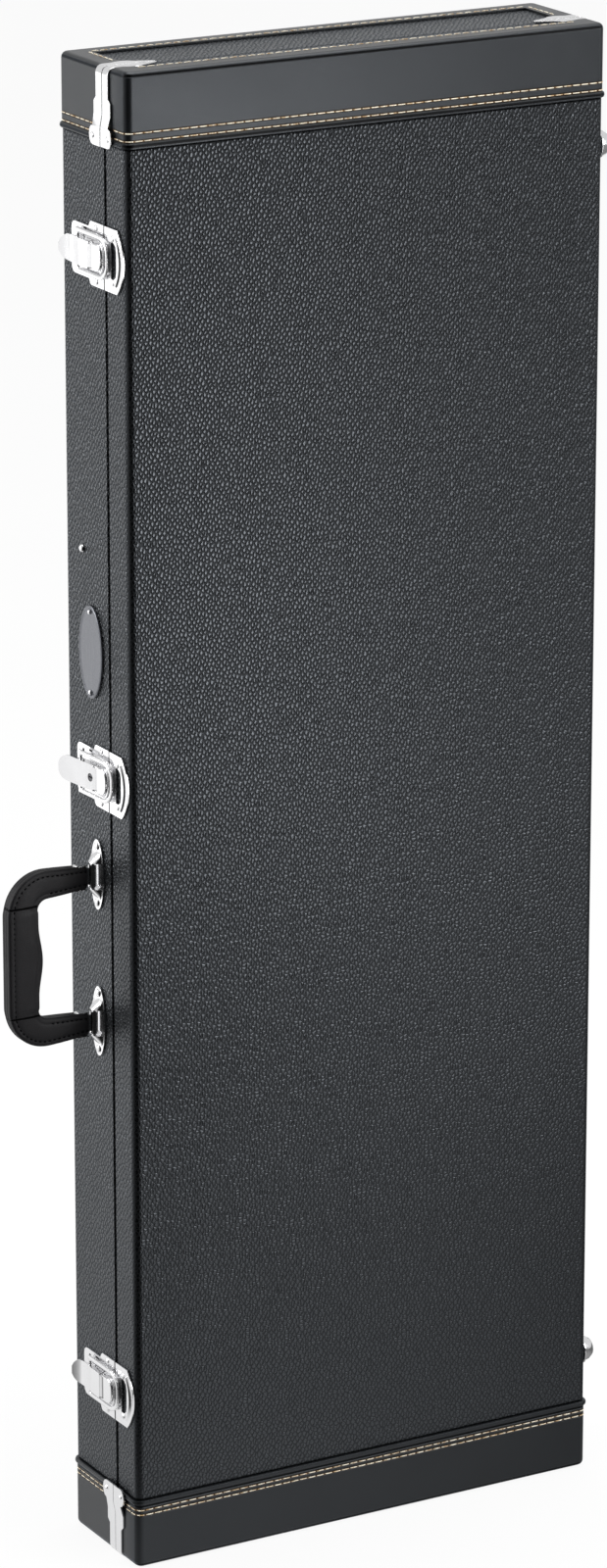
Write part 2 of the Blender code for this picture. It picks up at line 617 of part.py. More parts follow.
def make_cap(half, top):
    """A vinyl cap half: a folded sheet round the end, with a rolled lip and a border on the end face."""
    lip = CAP_LIP_PROUD
    width = CAP_LIP_WIDTH
    levels = rim_levels(CAP_RIM_RADIUS, -CAP_PROUD, 0.0)
    levels += [(CAP_REACH - share * width, -lip * proud) for share, proud in reversed(LIP_PROFILE)]
    levels = [(from_end(top, distance), inset) for distance, inset in levels]
    outer = half_rings(half, levels, ease=CAP_SEAM_EASE)
    name = f"{half.name}_cap_{'top' if top else 'bottom'}"
    cap = piece(name, loft(outer), "smooth_vinyl")
    inner_levels = rim_levels(SHELL_RIM_RADIUS, CAP_REBATE - TOUCH, CAP_SHEET)
    inner_levels += [(CAP_REACH + CUT_PAST, CAP_REBATE - TOUCH)]
    inner_levels = [(from_end(top, distance), inset) for distance, inset in inner_levels]
    inner = half_rings(half, inner_levels, -CUT_PAST)
    window = half_box(
        half,
        (-HALF_WIDTH + CAP_BORDER, HALF_WIDTH - CAP_BORDER),
        (-CUT_PAST, half.depth - CAP_BORDER),
        sorted((from_end(top, -CUT_PAST), from_end(top, CUT_PAST))),
    )
    cuts = [loft(inner), window]
    for side in (-1, 1):
        seat = (-CLIP_SHEET / 2 - CLIP_SEAT, CLIP_SHEET / 2 + CUT_PAST)
        cuts.append(clip_strip(half, side, top, *seat, -CUT_MARGIN, TOUCH))
    combine(cap, "DIFFERENCE", *cuts)
    return finish(cap, half)


def wall(side, height):
    """Places (along, up, level) on a side wall: towards the back from the seam, outwards and up."""

    def place(along, up, level):
        return Vector((side * (HALF_WIDTH + up), SEAM_DEPTH + along, height + level))

    return place


def plate(side, height):
    """Places (along, level, up) on a side wall, for outlines seen square to the wall."""

    def place(along, level, up):
        return Vector((side * (HALF_WIDTH + up), SEAM_DEPTH + along, height + level))

    return place


def mirrored(points):
    """An outline whose upper half is given, completed below its middle line."""
    return list(points) + [(u, -v) for u, v in reversed(points) if abs(v) > 1e-9]


def nose_outline(front, half, radius, back):
    """Upper half of a round-nosed outline: straight sides at half, and corners of this radius in front."""
    return [(back, half)] + arc((front + radius, half - radius), radius, 90, 180, NOSE_STEPS)


def housing_front():
    """Where the housing starts: just behind the hook that stands inside the loop's nose."""
    return LOOP_NOSE + LOOP_BAND / 2 + 3 * TOUCH + HOOK_SHEET


def make_housing(height):
    """The round-nosed cover on the latch's plate, open at the back, its hollow and the ears for the pin."""
    seat = wall(-1, height)
    face = plate(-1, height)
    low = TOUCH + PLATE_SHEET / 2
    back = LEVER_PIVOT[0] - max(LEVER_BARREL_RADIUS, LEVER_CREASE_HEIGHT - LEVER_PIVOT[1]) - 2 * TOUCH
    front = housing_front()
    half = LEVER_HALF_WIDTH
    rings = []
    levels = [(0.0, low)]
    levels += [(u * HOUSING_ROUND, HOUSING_HEIGHT - v * HOUSING_ROUND) for u, v in HOUSING_ROUND_POINTS]
    for inset, up in levels:
        upper = nose_outline(front + inset, half - inset, HOUSING_CORNER_RADIUS - inset, back)
        rings.append([face(u, v, up) for u, v in mirrored(upper)])
    solid = loft(rings)
    ears = []
    radius = LEVER_PIN_RADIUS + RUN + EAR_WALL
    ear = [(LEVER_PIVOT[0] + radius + EAR_FOOT, low)]
    ear += arc(LEVER_PIVOT, radius, EAR_TURN, 90, CORNER_STEPS)
    ear += [(back - EAR_LAP, LEVER_PIVOT[1] + radius), (back - EAR_LAP, low)]
    for way in (-1, 1):
        inner, outer = sorted((way * (half - HOUSING_SHEET), way * (half - EAR_INSET)))
        ears.append(prism(ear, seat, inner, outer))
    thick = HOUSING_WALL
    inside = nose_outline(front + thick, half - thick, HOUSING_CORNER_RADIUS - thick, back + HOUSING_OPEN)
    hollow = prism(mirrored(inside), face, PLATE_TOP + HOUSING_LIFT, HOUSING_HEIGHT - HOUSING_SHEET)
    return solid, ears, hollow


def make_latch_plate(name, height):
    """The latch's plate on the base: a stepped outline, rivets, empty holes and the lever's housing."""
    seat = wall(-1, height)
    face = plate(-1, height)
    start = SEAM_GAP / 2 + TOUCH
    upper = [(start, LATCH_HALF_HEIGHT)]
    past, drop = LATCH_STEP_ROUND
    upper += [(LATCH_SHOULDER, LATCH_HALF_HEIGHT), (LATCH_SHOULDER + past, LATCH_HALF_HEIGHT - drop)]
    upper += [(LATCH_SHOULDER + LATCH_STEP_LENGTH, LATCH_NARROW_HALF)]
    corner = LATCH_CORNER_RADIUS
    upper += arc((LATCH_PLATE_REACH - corner, LATCH_NARROW_HALF - corner), corner, 90, 0, CORNER_STEPS)
    body = piece(name, prism(mirrored(upper), face, TOUCH, PLATE_TOP), "nickel")
    solid, ears, hollow = make_housing(height)
    joined = [solid, *ears]
    holes = [hollow]
    for way in (-1, 1):
        rivet = face(LATCH_RIVET[0] - SEAM_GAP / 2, way * LATCH_RIVET[1], PLATE_TOP)
        joined.append(dome(rivet, (-1, 0, 0), RIVET_RADIUS, RIVET_HEIGHT, PLATE_SHEET / 2))
        hole = [face(LATCH_HOLE[0], way * LATCH_HOLE[1], up) for up in (0, CUT_PAST)]
        holes.append(round_bar(*hole, LATCH_HOLE_RADIUS, HOLE_SIDES))
        (near, low), (far, high) = LATCH_SLOT
        slot = [(near, way * low), (far, way * low), (far, way * high), (near, way * high)]
        holes.append(prism(slot, face, 0, CUT_PAST))
    combine(body, "UNION", *joined)
    reach = LEVER_HALF_WIDTH + CUT_MARGIN
    edge = SEAM_DEPTH + start + TOUCH
    outward = -HALF_WIDTH - PLATE_TOP - TOUCH
    under = box((outward, 0, height - reach), (-HALF_WIDTH, edge, height + reach))
    bore = (seat(*LEVER_PIVOT, -reach), seat(*LEVER_PIVOT, reach))
    holes += [under, round_bar(*bore, LEVER_PIN_RADIUS + RUN, PIN_SIDES)]
    combine(body, "DIFFERENCE", *holes)
    return finish(body)


def make_lever_pin(name, height):
    """The pin that the lever turns on, through both ears."""
    seat = wall(-1, height)
    reach = LEVER_HALF_WIDTH + LEVER_PIN_PROUD
    ends = (seat(*LEVER_PIVOT, -reach), seat(*LEVER_PIVOT, reach))
    return finish(piece(name, round_bar(*ends, LEVER_PIN_RADIUS, PIN_SIDES), "nickel"))


def lever_neck():
    """Half width of the lever where it lies between the housing's ears."""
    return LEVER_HALF_WIDTH - HOUSING_SHEET - TOUCH


def lever_path(locked):
    """The lever's outer face from its barrel to its thumb tab, as (along, up, half width)."""
    crease = LEVER_CREASE_HEIGHT
    half = LEVER_HALF_WIDTH
    start = LEVER_PIVOT[0]
    shoulder = start + LEVER_PIN_RADIUS + RUN + EAR_WALL + 2 * TOUCH
    barrel_top = LEVER_PIVOT[1] + LEVER_BARREL_RADIUS
    neck = lever_neck()
    path = [(start, barrel_top, neck), (start + LEVER_ROLL[0], barrel_top + LEVER_ROLL[1], neck)]
    path += [(shoulder - LEVER_SHOULDER[0], crease - LEVER_SHOULDER[1], neck), (shoulder, crease, half)]
    flat, tab = (LOCK_FLAT, LOCK_TAB) if locked else (THUMB_FLAT, THUMB_TAB)
    path += [(along * MM, crease + rise * MM, half) for along, rise in flat]
    return path + [(along * MM, crease + rise * MM, wide * MM) for along, rise, wide in tab]


def sheet_strip(path, place, thickness):
    """A bent sheet whose outer face follows (along, up, half width) points."""
    rings = []
    for index, (along, up, half) in enumerate(path):
        before = path[max(index - 1, 0)]
        after = path[min(index + 1, len(path) - 1)]
        slope = math.atan2(after[1] - before[1], after[0] - before[0])
        inner = (along + thickness * math.sin(slope), up - thickness * math.cos(slope))
        ring = [place(along, up, -half), place(along, up, half), place(*inner, half), place(*inner, -half)]
        rings.append(ring)
    return loft(rings)


def make_lever(name, height, locked):
    """A pressed lever: rolled barrel, two creases, turned-down sides for the loop, and a thumb tab."""
    tilt = LOCK_TILT if locked else 0.0
    seat = wall(-1, height)

    def place(along, up, level):
        return seat(*turned((along, up), LEVER_PIVOT, tilt), level)

    half = LEVER_HALF_WIDTH
    neck = lever_neck()
    strip = sheet_strip(lever_path(locked), place, LEVER_SHEET)
    body = piece(name, strip, "nickel", place(*LEVER_PIVOT, 0))
    ends = (place(*LEVER_PIVOT, -neck), place(*LEVER_PIVOT, neck))
    barrel = round_bar(*ends, LEVER_BARREL_RADIUS, BARREL_SIDES)
    low = PLATE_TOP + FLANGE_LIFT
    under = LEVER_CREASE_HEIGHT - FLANGE_BELOW_CREASE
    near = LEVER_PIVOT[0] + LEVER_PIN_RADIUS + RUN + EAR_WALL + 3 * TOUCH
    end = LOOP_PIVOT[0] + FLANGE_PAST_LOOP
    flange = [(near, under), (near, low + FLANGE_NEAR_CORNER[1]), (near + FLANGE_NEAR_CORNER[0], low)]
    flange += [(end - FLANGE_FAR_CORNER[0], low), (end, low + FLANGE_FAR_CORNER[1])]
    flange += [(along or end, under - drop) for drop, along in FLANGE_TOP]
    sides = [prism(flange, place, way * half, way * (half - FLANGE_SHEET)) for way in (-1, 1)]
    combine(body, "UNION", barrel, *sides)
    bores = []
    for pivot, radius in ((LEVER_PIVOT, LEVER_PIN_RADIUS), (LOOP_PIVOT, LOOP_PIN_RADIUS)):
        ends = (place(*pivot, -half - CUT_MARGIN), place(*pivot, half + CUT_MARGIN))
        bores.append(round_bar(*ends, radius + RUN, PIN_SIDES))
    if locked:
        top = LEVER_CREASE_HEIGHT - LOCK_RECESS
        levels = (top - LOCK_DEPTH + LOCK_BOSS_LEVELS[0], top - LOCK_BOSS_LEVELS[1])
        boss = [place(LOCK_ALONG, up, 0) for up in levels]
        combine(body, "UNION", round_bar(*boss, LOCK_RADIUS + RUN + LOCK_BOSS_WALL, BARREL_SIDES))
        bore = (place(LOCK_ALONG, 0, 0), place(LOCK_ALONG, LEVER_CREASE_HEIGHT + CUT_MARGIN, 0))
        bores.append(round_bar(*bore, LOCK_RADIUS + RUN, BARREL_SIDES))
    combine(body, "DIFFERENCE", *bores)
    return finish(body)


def make_lock_cylinder(height):
    """The key lock's turning core, with its keyway."""
    seat = wall(-1, height)

    def place(along, up, level):
        return seat(*turned((along, up), LEVER_PIVOT, LOCK_TILT), level)

    top = LEVER_CREASE_HEIGHT - LOCK_RECESS
    foot, face = place(LOCK_ALONG, top - LOCK_DEPTH, 0), place(LOCK_ALONG, top, 0)
    core = piece("lock_cylinder", round_bar(foot, face, LOCK_RADIUS, BARREL_SIDES), "dark_steel", face)
    long, wide = KEYWAY
    way = ((-long, -wide), (long, -wide), (long, wide), (-long, wide))
    levels = (top - KEYWAY_DEPTH, top + CUT_MARGIN)
    rings = [[place(LOCK_ALONG + u, level, v) for u, v in way] for level in levels]
    combine(core, "DIFFERENCE", loft(rings))
    return finish(core)


def make_loop(name, height, locked):
    """The latch's loop: a flat U of steel whose ends turn in to the lever's sides."""
    if locked:
        pivot = turned(LOOP_PIVOT, LEVER_PIVOT, LOCK_TILT)
        lean = math.asin((pivot[1] - LOOP_PIVOT[1]) / (LOOP_PIVOT[0] - LOOP_NOSE))
    else:
        pivot = LOOP_PIVOT
        lean = 0.0
    seat = wall(-1, height)

    def place(along, up, level):
        moved = (along + pivot[0] - LOOP_PIVOT[0], up + pivot[1] - LOOP_PIVOT[1])
        return seat(*turned(moved, pivot, lean), level)

    centre = (LOOP_NOSE + LOOP_CORNER_RADIUS, LOOP_HALF_WIDTH - LOOP_CORNER_RADIUS)
    end = LOOP_PIVOT[0] + LOOP_PAST_PIN
    band = LOOP_BAND / 2
    rings = []
    upper = [((end, LOOP_HALF_WIDTH), 90)]
    for step in range(LOOP_STEPS + 1):
        angle = 90 + 90 * step / LOOP_STEPS
        point = arc(centre, LOOP_CORNER_RADIUS, angle, angle, 1)[0]
        upper.append((point, angle))
    path = upper + [((along, -level), -angle) for (along, level), angle in reversed(upper)]
    for (along, level), angle in path:
        side = (math.cos(math.radians(angle)), math.sin(math.radians(angle)))
        ring = []
        for across, rise in ((-band, -1), (band, -1), (band, 1), (-band, 1)):
            up = LOOP_PIVOT[1] + rise * LOOP_THICKNESS / 2
            ring.append(place(along + across * side[0], up, level + across * side[1]))
        rings.append(ring)
    body = piece(name, loft(rings), "nickel", place(*LOOP_PIVOT, 0))
    tips = []
    for way in (-1, 1):
        tip = place(*LOOP_PIVOT, way * (LEVER_HALF_WIDTH - FLANGE_SHEET))
        tips.append(round_bar(tip, place(*LOOP_PIVOT, way * LOOP_HALF_WIDTH), LOOP_PIN_RADIUS, PIN_SIDES))
    combine(body, "UNION", *tips)
    return finish(body)


def make_catch(name, height):
    """The catch plate on the lid: a round-ended plate with a pressed bead, a slot and the hook."""
    face = plate(-1, height)
    seat = wall(-1, height)
    start = -SEAM_GAP / 2 - TOUCH
    sagitta = CATCH_REACH - CATCH_CORNER
    radius = (LATCH_HALF_HEIGHT**2 + sagitta**2) / (2 * sagitta)
    centre = (radius - CATCH_REACH, 0)
    spread = math.degrees(math.asin(LATCH_HALF_HEIGHT / radius))
    outline = [(start, LATCH_HALF_HEIGHT)]
    outline += arc(centre, radius, 180 - spread, 180 + spread, CATCH_ARC_STEPS)
    outline += [(start, -LATCH_HALF_HEIGHT)]
    body = piece(name, prism(outline, face, TOUCH, PLATE_TOP), "nickel")

    def band(edges, half_turn):
        outer, inner = (radius - inset for inset in edges)
        ring = arc(centre, outer, 180 - half_turn, 180 + half_turn, CATCH_BEAD_STEPS)
        return ring + arc(centre, inner, 180 + half_turn, 180 - half_turn, CATCH_BEAD_STEPS)

    bead = band(CATCH_BEAD_FOOT, spread * CATCH_BEAD_SHARE)
    crown = band(CATCH_BEAD_CROWN, spread * CATCH_BEAD_SHARE - CATCH_BEAD_TURN)
    rings = [[face(u, v, up) for u, v in bead] for up in (TOUCH + ROOT_LIFT, PLATE_TOP)]
    rings += [[face(u, v, PLATE_TOP + CATCH_BEAD_HEIGHT) for u, v in crown]]
    bend = LOOP_CORNER_RADIUS - LOOP_BAND / 2 - TOUCH
    nose = LOOP_NOSE + LOOP_CORNER_RADIUS
    level = LOOP_HALF_WIDTH - LOOP_CORNER_RADIUS
    outer = arc((nose, level), bend, 180 - HOOK_SPREAD, 180, LOOP_STEPS)
    inner = arc((nose, level), bend - HOOK_SHEET, 180, 180 - HOOK_SPREAD, LOOP_STEPS)
    hook = outer + [(u, -v) for u, v in reversed(outer)]
    hook += [(u, -v) for u, v in reversed(inner)] + inner
    joined = [loft(rings), prism(hook, face, TOUCH + ROOT_LIFT, HOOK_HEIGHT)]
    for way in (-1, 1):
        rivet = face(CATCH_RIVET[0], way * CATCH_RIVET[1], PLATE_TOP)
        joined.append(dome(rivet, (-1, 0, 0), RIVET_RADIUS, RIVET_HEIGHT, PLATE_SHEET / 2))
    combine(body, "UNION", *joined)
    slot = [(along * MM, level * MM) for along, level in CATCH_SLOT]
    combine(body, "DIFFERENCE", prism(mirrored(slot), face, 0, CUT_PAST))
    return finish(body, LID)


def bracket_height(way):
    """Height of the upper or lower handle bracket."""
    return HANDLE_HEIGHT + way * HANDLE_SPACING / 2


def ellipse(centre, half_u, half_v, steps, start=0.0, end=360.0):
    """Points on an ellipse, angles in degrees; a full turn leaves out the repeated last point."""
    full = abs(end - start - 360.0) < 1e-6
    count = steps if full else steps + 1
    points = []
    for step in range(count):
        angle = math.radians(start + (end - start) * step / steps)
        points.append((centre[0] + half_u * math.cos(angle), centre[1] + half_v * math.sin(angle)))
    return points


def make_bracket(name, way):
    """A handle bracket: an oval plate with two raised humps, and the pin between them."""
    height = bracket_height(way)
    face = plate(-1, height)
    seat = wall(-1, height)
    along = HANDLE_DEPTH - SEAM_DEPTH
    oval = ellipse((along, 0), BRACKET_HALF_WIDTH, BRACKET_HALF_LENGTH, BRACKET_OVAL_STEPS)
    body = piece(name, prism(oval, face, TOUCH, PLATE_TOP), "nickel")
    mouth = HANDLE_ARM_WIDTH / 2 + BRACKET_MOUTH_GAP
    humps = []
    root = TOUCH + ROOT_LIFT
    for end in (-1, 1):
        rings = []
        for share, half, rise in HUMP_SECTIONS:
            level = end * (mouth + share * (BRACKET_HALF_LENGTH - mouth - BRACKET_HUMP_MARGIN))
            top = PLATE_TOP + rise * (BRACKET_HUMP_HEIGHT - PLATE_TOP)
            arch = [(half * MM, root)]
            arch += ellipse((0, root), half * MM, top - root, BRACKET_ARCH_STEPS, 0, 180)[1:-1]
            arch += [(-half * MM, root)]
            rings.append([seat(along + u, up, level) for u, up in arch])
        humps.append(loft(rings))
        rivet = face(along, end * BRACKET_RIVET, PLATE_TOP + BRACKET_RIVET_LIFT)
        size = (BRACKET_RIVET_RADIUS, BRACKET_RIVET_HEIGHT, BRACKET_RIVET_ROOT)
        humps.append(dome(rivet, (-1, 0, 0), *size))
    reach = mouth + BRACKET_PIN_LAP
    ends = (seat(along, HANDLE_PIN_STANDOFF, -reach), seat(along, HANDLE_PIN_STANDOFF, reach))
    humps.append(round_bar(*ends, HANDLE_PIN_RADIUS, BRACKET_PIN_SIDES))
    combine(body, "UNION", *humps)
    return finish(body)


def handle_origin():
    return Vector((-HALF_WIDTH - HANDLE_PIN_STANDOFF, HANDLE_DEPTH, HANDLE_HEIGHT))


def handle_stations():
    """The handle's middle line in its own plane, from one arm's end round to the other.

    Each station is (outward, level), the direction across it, its width and its thickness.
    """
    arm_level = HANDLE_SPACING / 2
    outer = HANDLE_REACH - HANDLE_GRIP_WIDTH / 2
    radius = HANDLE_CORNER_RADIUS
    stations = []
    straight = outer - radius - HANDLE_ARM_START
    widening = HANDLE_GRIP_WIDTH - HANDLE_ARM_WIDTH
    thickening = HANDLE_GRIP_THICKNESS - HANDLE_ARM_THICKNESS
    for share in HANDLE_ARM_SHARES:
        out = HANDLE_ARM_START + share * straight
        width = HANDLE_ARM_WIDTH + share * HANDLE_ARM_WIDENS * widening
        thick = HANDLE_ARM_THICKNESS + min(share / HANDLE_THICK_FROM, 1) * HANDLE_ARM_THICKENS * thickening
        stations.append(((out, arm_level), (0, 1), width, thick))
    for step in range(1, HANDLE_CORNER_STEPS + 1):
        turn = step / HANDLE_CORNER_STEPS
        angle = math.radians(90 - 90 * turn)
        across = (math.cos(angle), math.sin(angle))
        point = (outer - radius + radius * across[0], arm_level - radius + radius * across[1])
        width = HANDLE_ARM_WIDTH + (HANDLE_ARM_WIDENS + (1 - HANDLE_ARM_WIDENS) * turn) * widening
        thick = HANDLE_ARM_THICKNESS + (HANDLE_ARM_THICKENS + (1 - HANDLE_ARM_THICKENS) * turn) * thickening
        stations.append((point, across, width, thick))
    grip_half = arm_level - radius
    for share in HANDLE_GRIP_SHARES:
        bulge = HANDLE_FINGER_BULGE * (0.5 + 0.5 * math.cos(math.pi * share / HANDLE_BULGE_END))
        width = HANDLE_GRIP_WIDTH + bulge
        point = (outer - bulge / 2, share * grip_half)
        stations.append((point, (1, 0), width, HANDLE_GRIP_THICKNESS))
    middle = ((outer - HANDLE_FINGER_BULGE / 2, 0.0), (1, 0), HANDLE_GRIP_WIDTH + HANDLE_FINGER_BULGE)
    lower = []
    for (out, level), (u, v), width, thick in reversed(stations):
        lower.append(((out, -level), (u, -v), width, thick))
    return stations + [(*middle, HANDLE_GRIP_THICKNESS)] + lower


def handle_section(width, thickness):
    """A rounded rectangle, as (across, through) points."""
    radius = HANDLE_ROUND * thickness
    points = []
    corners = ((1, 1, 0), (-1, 1, 90), (-1, -1, 180), (1, -1, 270))
    for u, v, start in corners:
        centre = (u * (width / 2 - radius), v * (thickness / 2 - radius))
        points += arc(centre, radius, start, start + 90, HANDLE_ROUND_STEPS)
    return points


def handle_ring(station, grow=0.0):
    """The handle's section at a station."""
    (out, level), (u, v), width, thickness = station
    ring = []
    for across, through in handle_section(width + 2 * grow, thickness + 2 * grow):
        x = -HALF_WIDTH - out - across * u
        ring.append(Vector((x, HANDLE_DEPTH + through, HANDLE_HEIGHT + level + across * v)))
    return ring


def eye_strap_block(way, grow):
    """The part of a handle eye that goes into the arm."""
    level = HANDLE_HEIGHT + way * HANDLE_SPACING / 2
    half = HANDLE_ARM_WIDTH / 2 - EYE_STRAP_INSET + grow
    thick = EYE_STRAP / 2 + grow
    far = -HALF_WIDTH - HANDLE_PIN_STANDOFF - EYE_STRAP_LENGTH - grow
    near = -HALF_WIDTH - HANDLE_PIN_STANDOFF - EYE_RADIUS + EYE_STRAP_LAP
    return box((far, HANDLE_DEPTH - thick, level - half), (near, HANDLE_DEPTH + thick, level + half))


def make_handle():
    """The leather-covered handle, with a slot in each arm for its eye."""
    sweep = loft([handle_ring(station) for station in handle_stations()])
    body = piece("handle_grip", sweep, "handle_leather", handle_origin())
    combine(body, "DIFFERENCE", eye_strap_block(1, TOUCH), eye_strap_block(-1, TOUCH))
    return finish(body)


def make_handle_eye(name, way):
    """The metal end of the handle: a barrel round the bracket's pin and a strap into the arm."""
    level = HANDLE_HEIGHT + way * HANDLE_SPACING / 2
    half = HANDLE_ARM_WIDTH / 2 - EYE_INSET
    x = -HALF_WIDTH - HANDLE_PIN_STANDOFF
    ends = (Vector((x, HANDLE_DEPTH, level - half)), Vector((x, HANDLE_DEPTH, level + half)))
    body = piece(name, round_bar(*ends, EYE_RADIUS, BARREL_SIDES), "nickel", handle_origin())
    combine(body, "UNION", eye_strap_block(way, 0.0))
    past = Vector((0, 0, CUT_MARGIN))
    bore = round_bar(ends[0] - past, ends[1] + past, HANDLE_PIN_RADIUS + RUN, BRACKET_PIN_SIDES)
    combine(body, "DIFFERENCE", bore)
    return finish(body)


def make_badge():
    """The oval badge plate, bare, with a raised rim and two rivets."""
    face = plate(-1, BADGE_HEIGHT)
    along = BADGE_DEPTH - SEAM_DEPTH
    rings = []
    for share, up in BADGE_PROFILE:
        shrink = (1 - share) * BADGE_HALF_WIDTH
        oval = ellipse((along, 0), BADGE_HALF_WIDTH - shrink, BADGE_HALF_LENGTH - shrink, BADGE_STEPS)
        rings.append([face(u, v, TOUCH + up * MM) for u, v in oval])
    body = piece("badge_plate", loft(rings), "badge_enamel")
    rivets = []
    for way in (-1, 1):
        foot = face(along, way * (BADGE_HALF_LENGTH - BADGE_RIVET_INSET), TOUCH + BADGE_RIVET_FOOT)
        rivets.append(dome(foot, (-1, 0, 0), BADGE_RIVET_RADIUS, BADGE_RIVET_HEIGHT, BADGE_RIVET_ROOT))
    combine(body, "UNION", *rivets)
    return finish(body)


def make_stud():
    """The single stud on the side wall."""
    foot = Vector((-HALF_WIDTH - TOUCH - STUD_ROOT, STUD_DEPTH, STUD_HEIGHT))
    head = dome(foot, (-1, 0, 0), STUD_RADIUS, STUD_DOME, STUD_ROOT, STUD_SIDES)
    return finish(piece("wall_stud", head, "nickel"))


def knuckle_span(index):
    """Lowest and highest level of one knuckle."""
    pitch = 2 * HINGE_HALF_HEIGHT / HINGE_KNUCKLES
    low = -HINGE_HALF_HEIGHT + index * pitch
    return (low + KNUCKLE_GAP / 2, low + pitch - KNUCKLE_GAP / 2)


def make_hinge_leaf(name, height, half):
    """A riveted leaf with its own knuckles: the base has the outer ones, the lid those between."""
    seat = wall(1, height)
    face = plate(1, height)
    sign = half.sign
    first = 0 if half is BASE else 1
    start = HINGE_BARREL_RADIUS + HINGE_LEAF_GAP
    corner = HINGE_CORNER_RADIUS
    leaf = [(start, HINGE_HALF_HEIGHT)]
    leaf += arc((HINGE_LEAF - corner, HINGE_HALF_HEIGHT - corner), corner, 90, 0, CORNER_STEPS)
    outline = [(sign * u, v) for u, v in mirrored(leaf)]
    body = piece(name, prism(outline, face, TOUCH, PLATE_TOP), "nickel")
    joined = []
    for index in range(first, HINGE_KNUCKLES, 2):
        low, high = knuckle_span(index)
        reach = start + HINGE_TAB_LAP
        tab = [(0, 0), (reach, 0), (reach, PLATE_SHEET), (0, PLATE_SHEET)]
        tab = [(sign * (u + HINGE_TAB_NEAR), TOUCH + up) for u, up in tab]
        joined.append(prism(tab, seat, low, high))
        barrel = (seat(0, HINGE_AXIS_STANDOFF, low), seat(0, HINGE_AXIS_STANDOFF, high))
        joined.append(round_bar(*barrel, HINGE_BARREL_RADIUS, HINGE_BARREL_SIDES))
    for share in HINGE_RIVET_SHARES:
        rivet = face(sign * HINGE_RIVET, share * HINGE_HALF_HEIGHT, PLATE_TOP)
        joined.append(dome(rivet, (1, 0, 0), RIVET_RADIUS, RIVET_HEIGHT, PLATE_SHEET / 2))
    combine(body, "UNION", *joined)
    reach = HINGE_HALF_HEIGHT + CUT_MARGIN
    bore = (seat(0, HINGE_AXIS_STANDOFF, -reach), seat(0, HINGE_AXIS_STANDOFF, reach))
    combine(body, "DIFFERENCE", round_bar(*bore, HINGE_PIN_RADIUS + RUN, PIN_SIDES))
    return finish(body, half)


def make_hinge_pin(name, height):
    seat = wall(1, height)
    reach = HINGE_HALF_HEIGHT - HINGE_PIN_INSET
    ends = (seat(0, HINGE_AXIS_STANDOFF, -reach), seat(0, HINGE_AXIS_STANDOFF, reach))
    return finish(piece(name, round_bar(*ends, HINGE_PIN_RADIUS, PIN_SIDES), "nickel"))


def make_foot(name, height, depth, half):
    """A pressed dome foot, turned about its own middle line."""
    rings = []
    for share, rise in FOOT_PROFILE:
        ring = []
        for side in range(FOOT_SIDES):
            angle = 2 * math.pi * side / FOOT_SIDES
            y = depth + share * FOOT_RADIUS * math.cos(angle)
            z = height + share * FOOT_RADIUS * math.sin(angle)
            ring.append(Vector((HALF_WIDTH + TOUCH + rise * FOOT_HEIGHT, y, z)))
        rings.append(ring)
    return finish(piece(name, loft(rings), "nickel", (HALF_WIDTH, depth, height)), half)


def smooth_through(points, steps):
    """Points on a smooth curve through the given ones."""
    curve = []
    last = len(points) - 1
    for index in range(last):
        before, start = points[max(index - 1, 0)], points[index]
        end, after = points[index + 1], points[min(index + 2, last)]
        for step in range(steps):
            t = step / steps
            point = []
            for a, b, c, d in zip(before, start, end, after):
                square, cube = 2 * a - 5 * b + 4 * c - d, 3 * b - a - 3 * c + d
                point.append(0.5 * (2 * b + (c - a) * t + square * t**2 + cube * t**3))
            curve.append(tuple(point))
    curve.append(points[last])
    return curve


def cavity_outline():
    """The guitar-shaped cavity's outline as (x, z) points: body, neck channel and head."""
    start = LINER_BOTTOM + BODY_CAVITY_START
    lower = LINER_HALF_WIDTH - LOWER_BOUT_WALL
    upper = LINER_HALF_WIDTH - UPPER_BOUT_WALL
    waist = LINER_HALF_WIDTH - WAIST_WALL
    body = [(share * lower, along) for share, along in LOWER_BOUT] + [(waist, WAIST_AT)]
    body += [(share * upper, along) for share, along in UPPER_BOUT]
    body = [(half, start + along * BODY_CAVITY_LENGTH) for half, along in body]
    side = smooth_through(body, OUTLINE_STEPS)
    side += [(NECK_HALF_WIDTH, NECK_START)]
    side += [(NECK_HALF_WIDTH, HEAD_START)]
    for inset, share in HEAD_SHOULDERS:
        side.append((HEAD_HALF_WIDTH - inset, HEAD_START + share * HEAD_CAVITY_LENGTH))
    corner = HEAD_CORNER_RADIUS
    side += arc((HEAD_HALF_WIDTH - corner, HEAD_END - corner), corner, 0, 90, OUTLINE_STEPS)
    return side + [(-half, height) for half, height in reversed(side)]


